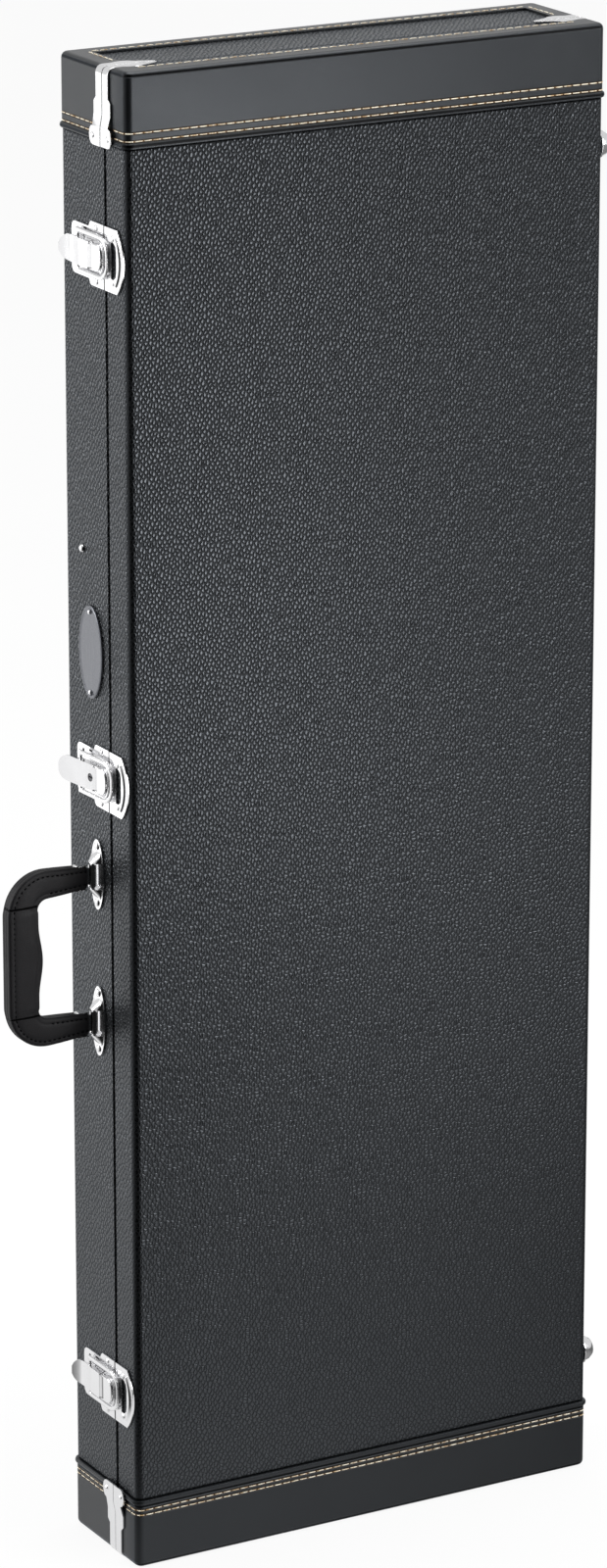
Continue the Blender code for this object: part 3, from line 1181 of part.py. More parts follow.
def make_base_liner():
    """A foam block under plush, with the guitar's cavity, the box's pocket and the flap's recess."""
    across = (-LINER_HALF_WIDTH, LINER_HALF_WIDTH)
    block = half_box(BASE, across, (LINER_BELOW_RIM, LINER_BACK), (LINER_BOTTOM, LINER_TOP))
    body = piece("base_liner", block, "plush")

    def place(x, z, out):
        return Vector((x, BASE.y(out), z))

    cavity = prism(cavity_outline(), place, 0.0, CAVITY_BACK)
    pocket = half_box(
        BASE,
        (BOX_NEAR - TOUCH, BOX_FAR + TOUCH),
        (0.0, LINER_BELOW_RIM + FLAP_SHEET + TOUCH + BOX_DEPTH + TOUCH),
        (BOX_LOW - TOUCH, BOX_HIGH + TOUCH),
    )
    edge = FLAP_OVERLAP + FLAP_GAP
    recess = half_box(
        BASE,
        (BOX_NEAR - edge, BOX_FAR + edge),
        (0.0, LINER_BELOW_RIM + FLAP_SHEET + TOUCH),
        (BOX_LOW - edge, BOX_HIGH + edge),
    )
    combine(body, "DIFFERENCE", cavity, pocket, recess)
    return finish(body)


def make_compartment():
    """The accessory box let into the liner beside the neck."""
    front = LINER_BELOW_RIM + FLAP_SHEET + TOUCH
    outside = half_box(BASE, (BOX_NEAR, BOX_FAR), (front, front + BOX_DEPTH), (BOX_LOW, BOX_HIGH))
    body = piece("compartment_box", outside, "board")
    inside = half_box(
        BASE,
        (BOX_NEAR + BOX_WALL, BOX_FAR - BOX_WALL),
        (front - CUT_MARGIN, front + BOX_DEPTH - BOX_WALL),
        (BOX_LOW + BOX_WALL, BOX_HIGH - BOX_WALL),
    )
    combine(body, "DIFFERENCE", inside)
    return finish(body)


def make_flap():
    """The box's flap. It turns about its outer front edge, where the plush runs on as a hinge."""
    front = LINER_BELOW_RIM
    back = front + FLAP_SHEET
    hinge = (BOX_FAR + FLAP_OVERLAP, BASE.y(front), (BOX_LOW + BOX_HIGH) / 2)
    board = half_box(
        BASE,
        (BOX_NEAR - FLAP_OVERLAP, BOX_FAR + FLAP_OVERLAP),
        (front, back),
        (BOX_LOW - FLAP_OVERLAP, BOX_HIGH + FLAP_OVERLAP),
    )
    body = piece("compartment_flap", board, "plush", hinge)
    return finish(body)


def make_flap_tab():
    """The ribbon pull on the flap's free edge."""
    middle = (BOX_LOW + BOX_HIGH) / 2
    hinge = (BOX_FAR + FLAP_OVERLAP, BASE.y(LINER_BELOW_RIM), middle)
    near = BOX_NEAR - FLAP_OVERLAP + TAB_FROM_EDGE
    out = (LINER_BELOW_RIM - TOUCH - TAB_SHEET, LINER_BELOW_RIM - TOUCH)
    tab = half_box(BASE, (near, near + TAB_LENGTH), out, (middle - TAB_HALF_WIDTH, middle + TAB_HALF_WIDTH))
    return finish(piece("flap_tab", tab, "ribbon", hinge))


def make_cradle():
    """The block that holds the neck near its head end, with a round notch."""
    top = HEAD_START - CRADLE_BELOW_HEAD
    half = NECK_HALF_WIDTH - TOUCH
    back = CAVITY_BACK - TOUCH
    rest = back - CRADLE_HEIGHT
    sink = CRADLE_NOTCH_HALF * CRADLE_NOTCH_SINK
    outline = [(-half, back), (-half, rest), (-CRADLE_NOTCH_HALF, rest)]
    notch = ellipse((0, rest), CRADLE_NOTCH_HALF, sink, CRADLE_NOTCH_STEPS, 180, 0)
    outline += notch[1:-1]
    outline += [(CRADLE_NOTCH_HALF, rest), (half, rest), (half, back)]

    def place(x, out, z):
        return Vector((x, BASE.y(out), z))

    return finish(piece("neck_cradle", prism(outline, place, top - CRADLE_LENGTH, top), "plush"))


def make_lid_liner():
    """The lid's padding: a plush tray with a thick floor."""
    back = LID_DEPTH - PANEL_BOARD - TOUCH
    block = half_box(
        LID, (-LINER_HALF_WIDTH, LINER_HALF_WIDTH), (LINER_BELOW_RIM, back), (LINER_BOTTOM, LINER_TOP)
    )
    body = piece("lid_liner", block, "plush")
    wall_inside = LINER_HALF_WIDTH - LID_LINER_WALL
    hollow = half_box(
        LID,
        (-wall_inside, wall_inside),
        (0.0, back - LID_PAD),
        (LINER_BOTTOM + LID_LINER_WALL, LINER_TOP - LID_LINER_WALL),
    )
    combine(body, "DIFFERENCE", hollow)
    return finish(body, LID)


def make_latches():
    for place_name, height in zip(("upper", "middle", "lower"), LATCH_HEIGHTS):
        locked = place_name == "middle"
        make_latch_plate(f"latch_plate_{place_name}", height)
        make_lever_pin(f"lever_pin_{place_name}", height)
        make_lever(f"latch_lever_{place_name}", height, locked)
        make_loop(f"latch_loop_{place_name}", height, locked)
        make_catch(f"catch_plate_{place_name}", height)
    make_lock_cylinder(LATCH_MIDDLE)


def make_hinges():
    for place_name, height in zip(("upper", "middle", "lower"), HINGE_HEIGHTS):
        make_hinge_leaf(f"hinge_leaf_base_{place_name}", height, BASE)
        make_hinge_leaf(f"hinge_leaf_lid_{place_name}", height, LID)
        make_hinge_pin(f"hinge_pin_{place_name}", height)


def make_feet():
    for place_name, height in zip(("upper", "lower"), FOOT_HEIGHTS):
        make_foot(f"foot_lid_{place_name}", height, SEAM_DEPTH - FOOT_FROM_SEAM, LID)
        make_foot(f"foot_base_{place_name}", height, CASE_DEPTH - FOOT_FROM_BACK, BASE)


def make_case():
    for half in (BASE, LID):
        make_shell(half)
        for top in (True, False):
            make_cap(half, top)
            for side in (-1, 1):
                make_clip(half, side, top)
    make_latches()
    make_bracket("handle_bracket_upper", 1)
    make_bracket("handle_bracket_lower", -1)
    make_handle()
    make_handle_eye("handle_eye_upper", 1)
    make_handle_eye("handle_eye_lower", -1)
    make_badge()
    make_stud()
    make_hinges()
    make_feet()
    make_base_liner()
    make_cradle()
    make_compartment()
    make_flap()
    make_flap_tab()
    make_lid_liner()


clear_scene()
MATERIALS = make_materials()
ORIGIN = bpy.data.objects.new("case_origin", None)
ORIGIN.location = ORIGIN_SHIFT
HINGE_LINE = bpy.data.objects.new("hinge_line", None)
HINGE_LINE.location = (HALF_WIDTH + HINGE_AXIS_STANDOFF, SEAM_DEPTH, 0)
HINGE_LINE.parent = ORIGIN
for guide in (ORIGIN, HINGE_LINE):
    bpy.context.scene.collection.objects.link(guide)
make_case()
bpy.context.view_layer.update()
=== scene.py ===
"""Looks of the electric guitar case: coverings, stitching, metal, handle, lining, light and camera."""

import json
import math

import bmesh
import bpy
from mathutils import Matrix, Vector


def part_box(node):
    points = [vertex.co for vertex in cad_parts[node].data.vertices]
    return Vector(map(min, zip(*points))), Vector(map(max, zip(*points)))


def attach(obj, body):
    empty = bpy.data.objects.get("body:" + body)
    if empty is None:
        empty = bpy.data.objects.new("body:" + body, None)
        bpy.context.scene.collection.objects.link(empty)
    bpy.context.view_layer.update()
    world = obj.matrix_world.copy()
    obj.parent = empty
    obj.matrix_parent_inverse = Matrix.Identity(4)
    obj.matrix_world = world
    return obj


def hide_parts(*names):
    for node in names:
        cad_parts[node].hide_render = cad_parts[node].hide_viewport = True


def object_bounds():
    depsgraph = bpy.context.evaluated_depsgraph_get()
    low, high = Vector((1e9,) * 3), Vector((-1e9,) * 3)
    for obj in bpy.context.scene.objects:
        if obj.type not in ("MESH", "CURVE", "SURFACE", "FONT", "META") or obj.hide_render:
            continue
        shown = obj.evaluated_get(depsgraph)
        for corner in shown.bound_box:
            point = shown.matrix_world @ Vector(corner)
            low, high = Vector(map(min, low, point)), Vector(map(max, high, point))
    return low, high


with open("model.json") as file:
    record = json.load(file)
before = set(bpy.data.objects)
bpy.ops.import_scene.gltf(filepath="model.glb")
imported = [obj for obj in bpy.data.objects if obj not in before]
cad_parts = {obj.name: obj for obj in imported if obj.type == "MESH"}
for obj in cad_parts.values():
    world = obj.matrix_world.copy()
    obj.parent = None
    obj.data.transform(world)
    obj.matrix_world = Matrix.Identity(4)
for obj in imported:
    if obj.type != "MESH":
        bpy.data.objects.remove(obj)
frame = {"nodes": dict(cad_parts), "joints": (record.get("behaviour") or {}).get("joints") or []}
CAD_LOW, CAD_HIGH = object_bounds()

MM = 0.001

# Places read from the frame
BASE_LOW, BASE_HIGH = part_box("base_shell")
LID_LOW, LID_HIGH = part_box("lid_shell")
TOP = CAD_HIGH.z
MIDDLE_X = (BASE_LOW.x + BASE_HIGH.x) / 2
MIDDLE_Y = (LID_LOW.y + BASE_HIGH.y) / 2
HALF_DEPTH = (BASE_HIGH.y - LID_LOW.y) / 2
HALF_WIDTH = (BASE_HIGH.x - BASE_LOW.x) / 2
JOINTS = {joint["name"]: joint for joint in frame["joints"]}
HANDLE_PIVOT = Vector(JOINTS["handle_swing"]["pos_m"])
WALL_X = BASE_LOW.x  # the handle's side wall
OUTWARD = Vector((-1, 0, 0))  # from that wall

# Camera, as the photograph was taken
CAMERA_TARGET = Vector((0.1505, 0.2558, 0.4424))
CAMERA_BACK = Vector((-0.4717, -0.8305, 0.2964))
CAMERA_UP = Vector((0.1464, 0.2577, 0.9551))
CAMERA_DISTANCE = 4.590
CAMERA_LENS = 143.1  # mm
CAMERA_SENSOR = 36  # mm, along the picture's tall side
CAMERA_CLIP = (0.1, 40)

# Surroundings
WORLD_LIGHT = 0.72
DARK_SIDE = (-0.10, -0.995, 0.0)  # the studio is dark towards here, low down
DARK_EDGE = (0.30, 0.72)  # cosines of the angle to it: full light up to the first, none from the second
FLOOR_RADIUS = 9.0
FLOOR_SIDES = 96
FLOOR_DROP = 0.2 * MM  # keeps the floor clear of the stitches under the case
FLOOR_TONE = (0.84, 0.87)
FLOOR_WHITE = 0.91  # how far the floor is lifted to white where the camera sees it
FLOOR_GLOW_BEHIND = (-0.30, 0.95, 0.0)  # painted light: for glossy rays the floor glows towards here
FLOOR_GLOW_PATCH = (1.0, 0.568, 0.0)  # and in a painted light patch at the case, which dims towards here

# Softboxes: place, the point aimed at, width and height, and power in watts
SOFTBOXES = {
    "front_softbox": ((2.4, -2.2, 1.7), (0.0, 0.0, 0.6), (1.2, 1.6), 50),
    "near_softbox": ((0.22, -0.80, 0.64), (-0.18, -0.05, 0.9), (0.4, 0.7), 4.0),
    "side_softbox": ((-2.7, 1.7, 1.5), (0.0, 0.0, 0.6), (1.0, 2.0), 55),
    "top_softbox": ((0.3, 0.2, 3.2), (0.0, 0.0, 0.5), (2.0, 2.0), 46),
}

# Grained covering. Its pattern is laid out flat, in cells to the metre
PEBBLE_CELLS = 365
PEBBLE_STRETCH = 0.76  # of the pattern along the case: the pebbles are longer that way
PEBBLE_TURN = math.radians(45)  # staggers the rows
PEBBLE_RANDOMNESS = 0.66
PEBBLE_WANDER = 0.6 * MM
PEBBLE_HEIGHT = 0.54 * MM
FOLD_REACH = 6 * MM  # the grain flattens, and gets an even painted shade, this close to a long corner
FOLD_FLAT = 0.3 * FOLD_REACH  # and is flattest, with the fullest painted shade, this close to it
FOLD_RELIEF = 0.1  # share of the grain's height that is left there
FOOT_RELIEF = 0.5  # and at the case's foot
FOOT_SPAN = (0.15 * TOP, 0.9 * TOP)  # the heights between which the grain goes from one to the other

# Painted shade in creases: fully black up to the first distance, and gone from the second
SEAM_PAINTED_SHADE = (0.9 * MM, 1.9 * MM)  # between the lid and the base
LIP_PAINTED_SHADOW = (0.6 * MM, 1.9 * MM)  # where the covering goes under a cap's lip
SEWN_CREASE_SHADE = (0.35 * MM, 1.25 * MM)
THREAD_SHADE_BAND = (0.35 * MM, 0.9 * MM)  # not black but painted shade in the thread's colour, in its row
HANDLE_CREASE_SHADE = (0.3 * MM, 1.0 * MM)

# Vinyl caps
CAP_REACH = 50.6 * MM  # from the end face to the lip's edge
CAP_PROUD = 0.6 * MM
EDGE_RADIUS = 5 * MM
CORNER_STEPS = 8
CLIP_CLEAR = 12 * MM  # stitching starts this far from the seam, beside the clip
WALL_SHADE_SPAN = (4 * MM, 1 * MM)  # painted shade on the caps' side walls starts and is full this far inside them
TURN_SHADE_SPAN = (3 * MM, 19 * MM)  # painted shade behind the lid's face: full up to the first, none from the second
# how dark the painted shade makes the lid caps' side walls beside the front fold
TURN_PAINTED_SHADE = 0.62

# Thread: the rows' distances from the end face
STITCH_PITCH = 6.8 * MM
STITCH_LENGTH = 6.3 * MM
THREAD_RADIUS = 0.38 * MM
THREAD_RISE = 0.18 * MM
THREAD_SUNK = -0.3 * MM  # under the case, where the thread hardly stands out
TOP_ROWS = (40.1 * MM, 45.4 * MM)
BOTTOM_ROWS = (39.6 * MM, 43.1 * MM)
TOP_CREASE = 48.2 * MM  # the crease above each lip's bead: a bump groove with painted shade
BOTTOM_CREASE = 45.9 * MM
RIM_CREASE = 2.5 * MM  # where the end's border is folded down over the side: a bump groove with painted shade
END_ROW_INSET = 14.3 * MM

# One stitch's form
STITCH_STEPS = 8
STITCH_SIDES = 6
STITCH_ARCH = 0.3  # the smaller, the quicker it comes up to its full height
STITCH_DIP = 1.1  # radii that its ends lie under the surface
STITCH_TIP = 0.55  # of the radius, at its ends
STITCH_PROBE = 0.1 * MM  # the path's direction is taken this far to both sides

# Handle, as outward distance from the wall and level from the handle's middle
HANDLE_ARM_LEVEL = 52.5 * MM
HANDLE_ARM_START = 9.5 * MM
HANDLE_OUTER = 60.0 * MM  # middle line of the grip
HANDLE_CORNER = 18 * MM
HANDLE_ARM_WIDTH = 17 * MM
HANDLE_GRIP_WIDTH = 23 * MM
HANDLE_ARM_THICKNESS = 8 * MM
HANDLE_GRIP_THICKNESS = 12 * MM
HANDLE_BULGE = 3 * MM
HANDLE_SEAM_LEVEL = 39 * MM
HANDLE_STEPS = 12  # along an arm, round a corner and along half the grip
ARM_WIDENS = 0.6  # share of the way to the grip's width that an arm reaches
ARM_THICKENS = 0.75  # and to its thickness
ARM_THICK_BY = 0.7  # share of the arm's length where it has thickened
BULGE_REACH = 0.75  # share of half the grip that the bulge takes
WRAP_THICKNESS = 0.35 * MM  # of the second leather round the grip
HANDLE_GROOVE = 4.0 * MM  # from the handle's edge to its sewn groove

# The handle's thread
HANDLE_STITCH_PITCH = 3.7 * MM
HANDLE_STITCH_LENGTH = 2.3 * MM
HANDLE_STITCH_RADIUS = 0.5 * MM
HANDLE_STITCH_RISE = 0.16 * MM
HANDLE_STITCH_INSET = 4.2 * MM
HANDLE_STITCH_DEPTH = 0.95 * MM  # below the handle's flat face

# Brackets, straps and rivets. A rivet's head is its radius and its height
PLATE_TOP = 1.6 * MM  # of the brackets' plates, from the wall
HUMP_FROM = 9.5 * MM
HUMP_TO = 16.5 * MM
BRACKET_EASE = 0.3 * MM
BRACKET_RIVET = 20.0 * MM  # from the bracket's middle
BRACKET_RIVET_HEAD = (2.7 * MM, 1.3 * MM)
BADGE_RIVET = 28.0 * MM
BADGE_RIVET_HEAD = (1.5 * MM, 0.6 * MM)
BADGE_RIVET_SEAT = 0.25 * MM  # below the plate's face
DOME_SIDES = 24
DOME_PROFILE = ((1.0, -0.5), (1.0, 0.3), (0.93, 0.58), (0.74, 0.82), (0.45, 0.95), (0.08, 1.0))
STRAP_STATIONS = ((10.2, 2.9), (16.0, 2.9), (18.0, 2.7), (19.4, 2.0), (20.2, 0.7))  # mm: out and half as wide
STRAP_OFFSET = 0.1 * MM  # from an arm's edge to a strap's middle

# Edges and shading
WELD = 0.002 * MM
FLAT_ANGLE = math.radians(0.5)  # faces that lie this flat to each other are one face
SMOOTH_ANGLE = math.radians(35)  # CAD edges sharper than this are not shaded smooth
EASED_ANGLE = math.radians(38)  # and those sharper than this are rounded
NEW_PIECE_ANGLE = math.radians(40)  # new pieces are not shaded smooth over edges sharper than this
EASES = {"nickel": 0.22 * MM, "dark_steel": 0.1 * MM, "badge_enamel": 0.15 * MM, "smooth_vinyl": 0.3 * MM}
CLIP_EASE = 0.55 * MM  # the clips are pressed from domed strip

# Pieces remeshed from their CAD solids
LOOP_VOXEL = 0.36 * MM
LOOP_PASSES = 10
PLUSH_PASSES = 3
PLUSH_SHRINK = 0.25 * MM

# The flap's ribbon
RIBBON_STEPS = 16
RIBBON_LIFT = 0.25 * MM
RIBBON_ARCH = 0.5 * MM
RIBBON_THICKNESS = 0.45 * MM

# CAD nodes that other pieces replace
LOOPS = ("latch_loop_upper", "latch_loop_middle", "latch_loop_lower")
BRACKETS = ("handle_bracket_upper", "handle_bracket_lower")
SOFT_NODES = ("base_liner", "lid_liner", "neck_cradle", "compartment_flap", "flap_tab", "handle_grip")


# Shader nodes


class Nodes:
    """Adds shader nodes to a tree. Their inputs are plain values or other nodes' outputs."""

    def __init__(self, tree):
        self.tree = tree

    def link(self, value, socket):
        """Sets a socket from a plain value, or links it from another node's output."""
        if isinstance(value, bpy.types.NodeSocket):
            self.tree.links.new(value, socket)
        else:
            socket.default_value = value

    def node(self, kind, inputs=None, **settings):
        made = self.tree.nodes.new("ShaderNode" + kind)
        for label, value in settings.items():
            setattr(made, label, value)
        for label, value in (inputs or {}).items():
            self.link(value, made.inputs[label])
        return made

    def add(self, kind, output, inputs=None, **settings):
        """One output of a new node."""
        return self.node(kind, inputs, **settings).outputs[output]

    def maths(self, operation, first, second):
        return self.add("Math", "Value", {0: first, 1: second}, operation=operation)

    def times(self, first, second):
        return self.maths("MULTIPLY", first, second)

    def plus(self, first, second):
        return self.maths("ADD", first, second)

    def dot(self, vector, direction):
        return self.add("VectorMath", "Value", {0: vector, 1: direction}, operation="DOT_PRODUCT")

    def ramp(self, value, low, high, out_low=0.0, out_high=1.0, smooth=True):
        """Goes from out_low to out_high as the value goes from low to high, and no further."""
        inputs = {"Value": value, "From Min": low, "From Max": high, "To Min": out_low, "To Max": out_high}
        kind = "SMOOTHSTEP" if smooth else "LINEAR"
        return self.add("MapRange", "Result", inputs, interpolation_type=kind)

    def mixed(self, share, low, high):
        """A number between two, by share."""
        return self.add("MapRange", "Result", {"Value": share, "To Min": low, "To Max": high})

    def blend(self, share, low, high):
        """A colour between two, by share."""
        low, high = ((*colour, 1) if isinstance(colour, tuple) else colour for colour in (low, high))
        return self.add("Mix", 2, {"Factor": share, 6: low, 7: high}, data_type="RGBA")

    def parts(self, vector):
        """A vector's X, Y and Z outputs."""
        return self.node("SeparateXYZ", {"Vector": vector}).outputs

    def away(self, value, mark):
        """How far a value is from a mark, either way."""
        return self.maths("ABSOLUTE", self.maths("SUBTRACT", value, mark), 0.0)

    def beside(self, value, marks, near, far):
        """0 at each mark and 1 away from all of them."""
        clear = 1.0
        for mark in marks:
            clear = self.times(self.ramp(self.away(value, mark), near, far), clear)
        return clear


class Look(Nodes):
    """A Principled material, with the patterns that feed it."""

    def __init__(self, name, roughness=0.5, metallic=0.0, **constants):
        self.material = bpy.data.materials.new(name)
        self.material.use_nodes = True
        super().__init__(self.material.node_tree)
        self.shader = self.tree.nodes["Principled BSDF"]
        self.shader.inputs["Roughness"].default_value = roughness
        self.shader.inputs["Metallic"].default_value = metallic
        for label, value in constants.items():
            self.shader.inputs[label.replace("_", " ")].default_value = value
        self.place = self.add("TexCoord", "Object")

    def stretched(self, scale):
        """The place, scaled differently along each axis."""
        return self.add("Mapping", "Vector", {"Vector": self.place, "Scale": scale})

    def noise(self, scale, detail=2.0, roughness=0.5, where=None, output="Fac"):
        inputs = {"Vector": where or self.place, "Scale": scale, "Detail": detail, "Roughness": roughness}
        return self.add("TexNoise", output, inputs)

    def shifted(self, amount, scale, where=None):
        """The place, pushed about by noise, so that patterns wander."""
        where = where or self.place
        push = self.noise(scale, 2.0, 0.5, where, "Color")
        centred = self.add("VectorMath", "Vector", {0: push, 1: (0.5, 0.5, 0.5)}, operation="SUBTRACT")
        scaled = self.add("VectorMath", "Vector", {0: centred, "Scale": amount}, operation="SCALE")
        return self.add("VectorMath", "Vector", {0: where, 1: scaled}, operation="ADD")

    def cells(self, scale, where, feature="DISTANCE_TO_EDGE", randomness=1.0, dimensions="3D"):
        inputs = {"Vector": where, "Scale": scale, "Randomness": randomness}
        return self.add("TexVoronoi", "Distance", inputs, voronoi_dimensions=dimensions, feature=feature)

    def bump(self, height, distance, strength=1.0):
        return self.add("Bump", "Normal", {"Height": height, "Distance": distance, "Strength": strength})

    def paint_shade(self, shade):
        """Painted shade: black where shade is 0. The metallic share lets the black colour stand for the gloss
        too.
        """
        self.link(self.ramp(shade, 0.0, 1.0, 0.9, 0.0, False), self.shader.inputs["Metallic"])
        return self.material

    def done(self, colour, roughness, normal):
        """Feeds the shader. Where roughness is None, the constant one stays."""
        self.link(colour, self.shader.inputs["Base Color"])
        self.link(normal, self.shader.inputs["Normal"])
        if roughness is not None:
            self.link(roughness, self.shader.inputs["Roughness"])
        return self.material


# Materials

COOL = (0.86, 0.92, 1.0, 1.0)  # the covering's gloss is a little bluish
# the colour of painted shade in creases, valleys and thread rows
SHADE_BLACK = (0.0006, 0.0006, 0.0007)
THREAD_SHADE = (0.085, 0.048, 0.019)  # painted shade: the thread's colour as seen down in its row


def flat_place(look):
    """The place laid flat on the case's sides: across and along on the walls, and both ways on the ends."""
    normal = look.parts(look.add("TexCoord", "Normal"))
    place = look.parts(look.place)
    steep = math.cos(math.radians(45))
    on_side = look.maths("GREATER_THAN", look.maths("ABSOLUTE", normal["X"], 0.0), steep)
    on_end = look.maths("GREATER_THAN", look.maths("ABSOLUTE", normal["Z"], 0.0), steep)
    across = look.mixed(on_side, place["X"], place["Y"])
    along = look.mixed(on_end, place["Z"], place["Y"])
    return look.add("CombineXYZ", "Vector", {"X": across, "Y": along}), place


def make_grained_vinyl():
    """Pebbled black covering: oval pebbles about 3 mm apart, with glossy tops and painted shade in the
    valleys.

    The pebbles are stretched flat where the covering is pulled over the long corners, and are flatter
    towards the case's foot. Painted shade darkens the valleys, less towards the foot, and evens the long
    corners out to one dark tone; painted shade also draws black lines along the seam and the edge under each
    lip, and the black takes the gloss away there too.
    """
    look = Look("grained_vinyl_cover", Specular_IOR_Level=0.88, Specular_Tint=COOL)
    flat, place = flat_place(look)
    staggered = {"Vector": flat, "Rotation": (0.0, 0.0, PEBBLE_TURN), "Scale": (1.0, PEBBLE_STRETCH, 1.0)}
    where = look.shifted(PEBBLE_WANDER, 240, look.add("Mapping", "Vector", staggered))
    middle = look.cells(PEBBLE_CELLS, where, "F1", PEBBLE_RANDOMNESS, "2D")
    edge = look.cells(PEBBLE_CELLS, where, "DISTANCE_TO_EDGE", PEBBLE_RANDOMNESS, "2D")
    pebble = look.times(look.ramp(middle, 0.20, 0.80, 1.0, 0.2), look.ramp(edge, 0.0, 0.30))
    side, face = (
        look.ramp(look.away(place[axis], centre), half - FOLD_REACH, half - FOLD_FLAT)
        for axis, centre, half in (("X", MIDDLE_X, HALF_WIDTH), ("Y", MIDDLE_Y, HALF_DEPTH))
    )
    fold = look.times(side, face)
    foot = look.ramp(place["Z"], *FOOT_SPAN, 1.0, 0.0)
    relief = look.times(look.ramp(fold, 0.0, 1.0, 1.0, FOLD_RELIEF), look.mixed(foot, 1.0, FOOT_RELIEF))
    fine = look.noise(2400, 3.0, 0.6)
    height = look.times(look.plus(pebble, look.times(fine, 0.10)), relief)
    # Painted shade in the pebbles' valleys: lighter towards the foot, and one even dark tone at the long
    # corners
    painted_valley_shade = look.ramp(look.ramp(pebble, 0.0, 0.5), 0.0, 1.0, 0.25, 1.0, False)
    painted_valley_shade = look.mixed(look.times(foot, 0.35), painted_valley_shade, 0.8)
    painted_valley_shade = look.mixed(fold, painted_valley_shade, 0.35)
    # Painted shade: black along the seam between lid and base, and painted shadow along the edge under each
    # lip
    shade = look.times(painted_valley_shade, look.beside(place["Y"], (BASE_LOW.y,), *SEAM_PAINTED_SHADE))
    shade = look.times(shade, look.beside(place["Z"], (TOP - CAP_REACH, CAP_REACH), *LIP_PAINTED_SHADOW))
    worn = look.noise(7, 3.0, 0.55)
    colour = look.blend(shade, SHADE_BLACK, look.blend(worn, (0.005, 0.0055, 0.006), (0.010, 0.011, 0.012)))
    look.done(colour, look.ramp(pebble, 0.1, 0.8, 0.50, 0.27), look.bump(height, PEBBLE_HEIGHT))
    return look.paint_shade(shade)


def make_smooth_vinyl():
    """Satin vinyl of the caps: fine print, faint handling marks, grooves where it is sewn down, painted shade
    in the grooves and creases, and painted shade on the side walls beside the front fold.
    """
    coat = {"Coat_Weight": 0.10, "Coat_Roughness": 0.28}
    look = Look("smooth_vinyl_cap", Specular_IOR_Level=0.45, Specular_Tint=COOL, **coat)
    place = look.parts(look.place)
    marks = look.noise(28, 4.0, 0.6)
    levels = [TOP - distance for distance in (RIM_CREASE, *TOP_ROWS, TOP_CREASE)]
    levels += [RIM_CREASE, *BOTTOM_ROWS, BOTTOM_CREASE]
    # Painted shade, with a bump groove: along the rims, the thread rows and the crease above each lip's bead
    sewn = look.beside(place["Z"], levels, *SEWN_CREASE_SHADE)
    rows = (*BOTTOM_ROWS, *(TOP - distance for distance in TOP_ROWS))
    # Painted shade in the rows: the thread's colour in shade next to the thread, black further out
    groove = look.blend(look.beside(place["Z"], rows, *THREAD_SHADE_BAND), THREAD_SHADE, SHADE_BLACK)
    colour = look.blend(sewn, groove, look.blend(marks, (0.004, 0.0045, 0.005), (0.008, 0.009, 0.010)))
    fine = look.plus(look.ramp(look.cells(1300, look.shifted(0.6 * MM, 700)), 0.0, 0.3), look.noise(3200))
    height = look.plus(look.times(fine, 0.025 * MM), look.times(sewn, 0.45 * MM))
    look.done(colour, look.ramp(marks, 0.3, 0.7, 0.31, 0.37), look.bump(height, 1.0))
    # Painted shade on the lid caps' side walls beside the front fold
    shaded_wall = look.ramp(look.away(place["X"], MIDDLE_X), *(HALF_WIDTH - inside for inside in WALL_SHADE_SPAN))
    turn = look.ramp(place["Y"], *(LID_LOW.y + behind for behind in TURN_SHADE_SPAN), TURN_PAINTED_SHADE, 0.0)
    painted_turn_shade = look.ramp(look.times(shaded_wall, turn), 0.0, 1.0, 1.0, 0.0, False)
    return look.paint_shade(look.times(sewn, painted_turn_shade))


def make_nickel(name="bright_nickel", colour=(0.90, 0.90, 0.91), roughness=(0.12, 0.22)):
    """Bright plated steel: slightly uneven polish and hairline scratches."""
    look = Look(name, metallic=1.0)
    cloud = look.noise(70, 4.0, 0.6)
    lines = look.noise(900, 2.0, 0.5, look.stretched((1.0, 1.0, 0.06)))
    rough = look.ramp(look.plus(cloud, look.times(lines, 0.5)), 0.5, 1.0, *roughness)
    shade = look.blend(cloud, tuple(0.95 * channel for channel in colour), colour)
    return look.done(shade, rough, look.bump(lines, 0.02 * MM, 0.35))


def make_thread(name, light, dark, gloss=0.5):
    """Twisted thread, with the plies as a slanting bump and uneven colour."""
    look = Look(name, roughness=0.62, Sheen_Weight=0.5 * gloss, Specular_IOR_Level=gloss)
    tint = look.blend(look.ramp(look.noise(330, 3.0, 0.6), 0.3, 0.6), dark, light)
    plies = look.noise(3200, 1.0, 0.5, look.stretched((1.0, 1.0, 0.45)))
    return look.done(tint, None, look.bump(plies, 0.12 * MM, 0.7))


def make_leather():
    """Black handle leather: fine pores and creases, rubbed a little smoother where a hand goes, and painted
    shade along the seams across the grip.
    """
    look = Look("handle_leather_fine", Specular_IOR_Level=0.25)
    rub = look.noise(36, 3.0, 0.6)
    seams = (HANDLE_PIVOT.z + HANDLE_SEAM_LEVEL, HANDLE_PIVOT.z - HANDLE_SEAM_LEVEL)
    # Painted shade, with a bump groove: black along the seams across the grip
    sewn = look.beside(look.parts(look.place)["Z"], seams, *HANDLE_CREASE_SHADE)
    colour = look.blend(sewn, SHADE_BLACK, look.blend(rub, (0.0035, 0.003, 0.0042), (0.0065, 0.006, 0.0075)))
    pores = look.ramp(look.cells(1050, look.shifted(0.7 * MM, 600)), 0.0, 0.28)
    height = look.plus(pores, look.times(look.noise(4200, 2.0, 0.6), 0.25))
    height = look.times(look.plus(height, look.times(sewn, 12.0)), 0.05 * MM)
    look.done(colour, look.ramp(rub, 0.3, 0.75, 0.55, 0.45), look.bump(height, 1.0))
    return look.paint_shade(sewn)


